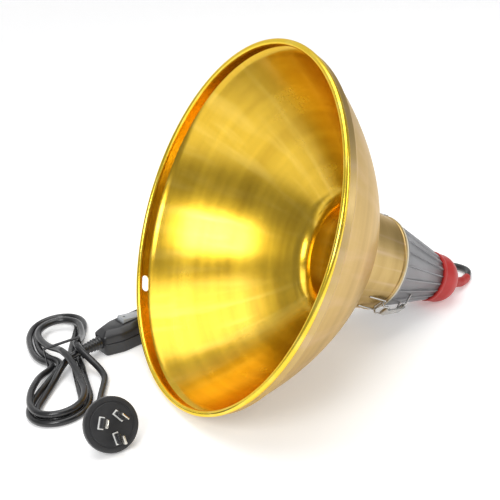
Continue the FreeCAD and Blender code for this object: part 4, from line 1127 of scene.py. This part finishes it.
def makeLampholder(s):
    mouth, back = s["mouth"], s["mouth"] + s["length"]
    tailBack = back + s["tailLength"]
    bore = s["bore"] + s["shellWall"] + 0.0003
    floorAt = mouth + s["shellLength"] + 0.0015
    recessFloor = floorAt + s["recessLength"]
    profile = [(bore, mouth + 0.0006), (bore + 0.0005, mouth + 0.0001), (s["radius"] - 0.0016, mouth),
               (s["radius"] - 0.0005, mouth + 0.0004), (s["radius"], mouth + 0.0016),
               (s["radius"], mouth + 0.010),
               (s["radius"] - 0.0006, mouth + 0.0106), (s["radius"] - 0.0006, mouth + 0.0120),
               (s["radius"], mouth + 0.0126), (s["radius"], back - 0.0006),
               (s["radius"] - 0.0006, back),
               (s["tail"], back), (s["tail"], tailBack - 0.0006), (s["tail"] - 0.0006, tailBack),
               (0.0017, tailBack), (0.0017, recessFloor), (s["recess"], recessFloor),
               (s["recess"], floorAt), (bore, floorAt)]
    body = lathe("porcelainHolder", profile, 128, True, 40)
    finished(body, "porcelain", lampMatrix, lampBody, ["lampholder"])

    # the thread is a true helix pressed into the shell
    bm = bmesh.new()
    around, steps = 96, 54
    low, high = mouth + 0.0015, floorAt - s["shellWall"]
    walls = []
    for extra in (0.0, 0.0003):
        rows = []
        for i in range(steps + 1):
            a = low + (high - low) * i / steps
            row = []
            for k in range(around):
                phase = a / s["pitch"] - k / around
                wave = 0.0001 + 0.00018 * (1 + math.sin(fullTurn * phase))
                radius = s["bore"] + wave + extra
                turn = fullTurn * k / around
                row.append(bm.verts.new((radius * math.cos(turn), radius * math.sin(turn), a)))
            rows.append(row)
        walls.append(rows)
        for lowRow, highRow in zip(rows, rows[1:]):
            for k in range(around):
                j = (k + 1) % around
                bm.faces.new((lowRow[k], lowRow[j], highRow[j], highRow[k]))
    for end in (0, -1):
        for k in range(around):
            j = (k + 1) % around
            bm.faces.new((walls[0][end][k], walls[0][end][j], walls[1][end][j], walls[1][end][k]))
    shell = finishMesh("threadedShell", bm, 50)
    finished(shell, "socketBrass", lampMatrix, lampBody, ["screw_shell"])

    head = recessFloor - 0.0015 - 0.0032
    contactProfile = [(0, head), (0.0022, head), (0.0034, head + 0.0002),
                      (s["contact"] - 0.0002, head + 0.0009),
                      (s["contact"], head + 0.0012), (0.0016, head + 0.0012),
                      (0.0016, tailBack - 0.002), (0, tailBack - 0.002)]
    contact = lathe("centreContact", contactProfile, 48, False, 40)
    dressed(contact, finishes["socketBrass"])
    placed(contact, lampMatrix)
    settle(contact, "centre_contact", ["centre_contact"])


makeLampholder(holderSize)
print("lampholder made")


# CAD pieces that keep their own shape, with better finishes

keptFinishes = {
    "inner_lead": "blackCord", "holder_plate": "zincSteel", "plate_screws": "zincSteel",
    "terminals": "socketBrass",
    "terminal_screws": "zincSteel", "clamp_base": "blackShell", "clamp_bar": "blackShell",
    "clamp_screws": "zincSteel", "line_core": "brownCore", "neutral_core": "blueCore",
    "earth_core": "greenCore",
    "earth_lug": "zincSteel", "neck_catch": "brightWire", "pivot_loop": "brightWire",
    "toggle_lever": "brightWire", "toggle_bail": "brightWire", "rear_hook": "brightWire",
    "switch_contacts": "socketBrass", "switch_screws": "zincSteel", "cord_tie": "darkSleeve",
}
for name, finish in keptFinishes.items():
    node = frame["nodes"][name]
    if not node.material_slots:
        node.data.materials.append(finishes[finish])
    for holder in node.material_slots:
        holder.material = finishes[finish]


# the cords' own finish and what they stand for

for cord, nodes in ((lampSideCord, ["lamp_cord"]), (plugSideCord, ["cord_hank", "plug_cord"])):
    cord.data.materials.append(finishes["blackCord"])
    settle(cord, lampBody, nodes)
lengthOf(lampSideCord)
lengthOf(plugSideCord)


# floor, world and soft lights

lights = {
    "front": {"place": (-0.95, -0.75, 1.05), "aim": (-0.02, 0.0, 0.08), "size": (0.6, 0.6),
              "power": 9.0},
    "top": {"place": (0.05, 0.10, 1.45), "aim": (0.0, 0.0, 0.0), "size": (1.3, 1.3), "power": 12.0},
    "side": {"place": (0.75, -0.85, 0.65), "aim": (0.05, 0.0, 0.08), "size": (0.35, 0.8), "power": 3.0},
}


def makeLight(name, values):
    data = bpy.data.lights.new(name, "AREA")
    data.shape = "RECTANGLE"
    data.size, data.size_y = values["size"]
    data.energy = values["power"]
    lamp = bpy.data.objects.new(name, data)
    scene.collection.objects.link(lamp)
    way = Vector(values["aim"]) - Vector(values["place"])
    turned = way.to_track_quat("-Z", "Y").to_matrix().to_4x4()
    lamp.matrix_world = Matrix.Translation(values["place"]) @ turned


def makeStage():
    bm = bmesh.new()
    size, back, rise, count = 3.0, 2.2, 1.2, 24
    rows = [(-size, 0.0), (back - rise, 0.0)]
    rows += [(back - rise + rise * math.sin(math.pi / 2 * i / count),
              rise * (1 - math.cos(math.pi / 2 * i / count)))
             for i in range(1, count + 1)]
    rows.append((back, 3.0))
    lines = [[bm.verts.new((x, y, z)) for x in (-size, size)] for y, z in rows]
    for low, high in zip(lines, lines[1:]):
        bm.faces.new((low[0], low[1], high[1], high[0]))
    floor = finishMesh("paleFloor", bm, 60, False)
    material, tree, shader = newMaterial("paleFloor")
    coords = tree.nodes.new("ShaderNodeTexCoord")
    soft = rangeNode(tree, noiseNode(tree, coords.outputs["Object"], 3.0, 3.0), 0.3, 0.7)
    tree.links.new(mixed(tree, soft, (0.955, 0.955, 0.96), (0.97, 0.97, 0.97)),
                   shader.inputs["Base Color"])
    shader.inputs["Roughness"].default_value = 0.75
    shader.inputs["Emission Color"].default_value = (1.0, 1.0, 1.0, 1.0)
    shader.inputs["Emission Strength"].default_value = 0.24
    dressed(floor, material)


for name, values in lights.items():
    makeLight(name, values)
makeStage()
world = bpy.data.worlds.new("softRoom")
scene.world = world
world.use_nodes = True
world.node_tree.nodes["Background"].inputs["Color"].default_value = (1.0, 1.0, 1.0, 1.0)
world.node_tree.nodes["Background"].inputs["Strength"].default_value = 0.34
scene.view_settings.view_transform = "Standard"
print("stage and lights set")
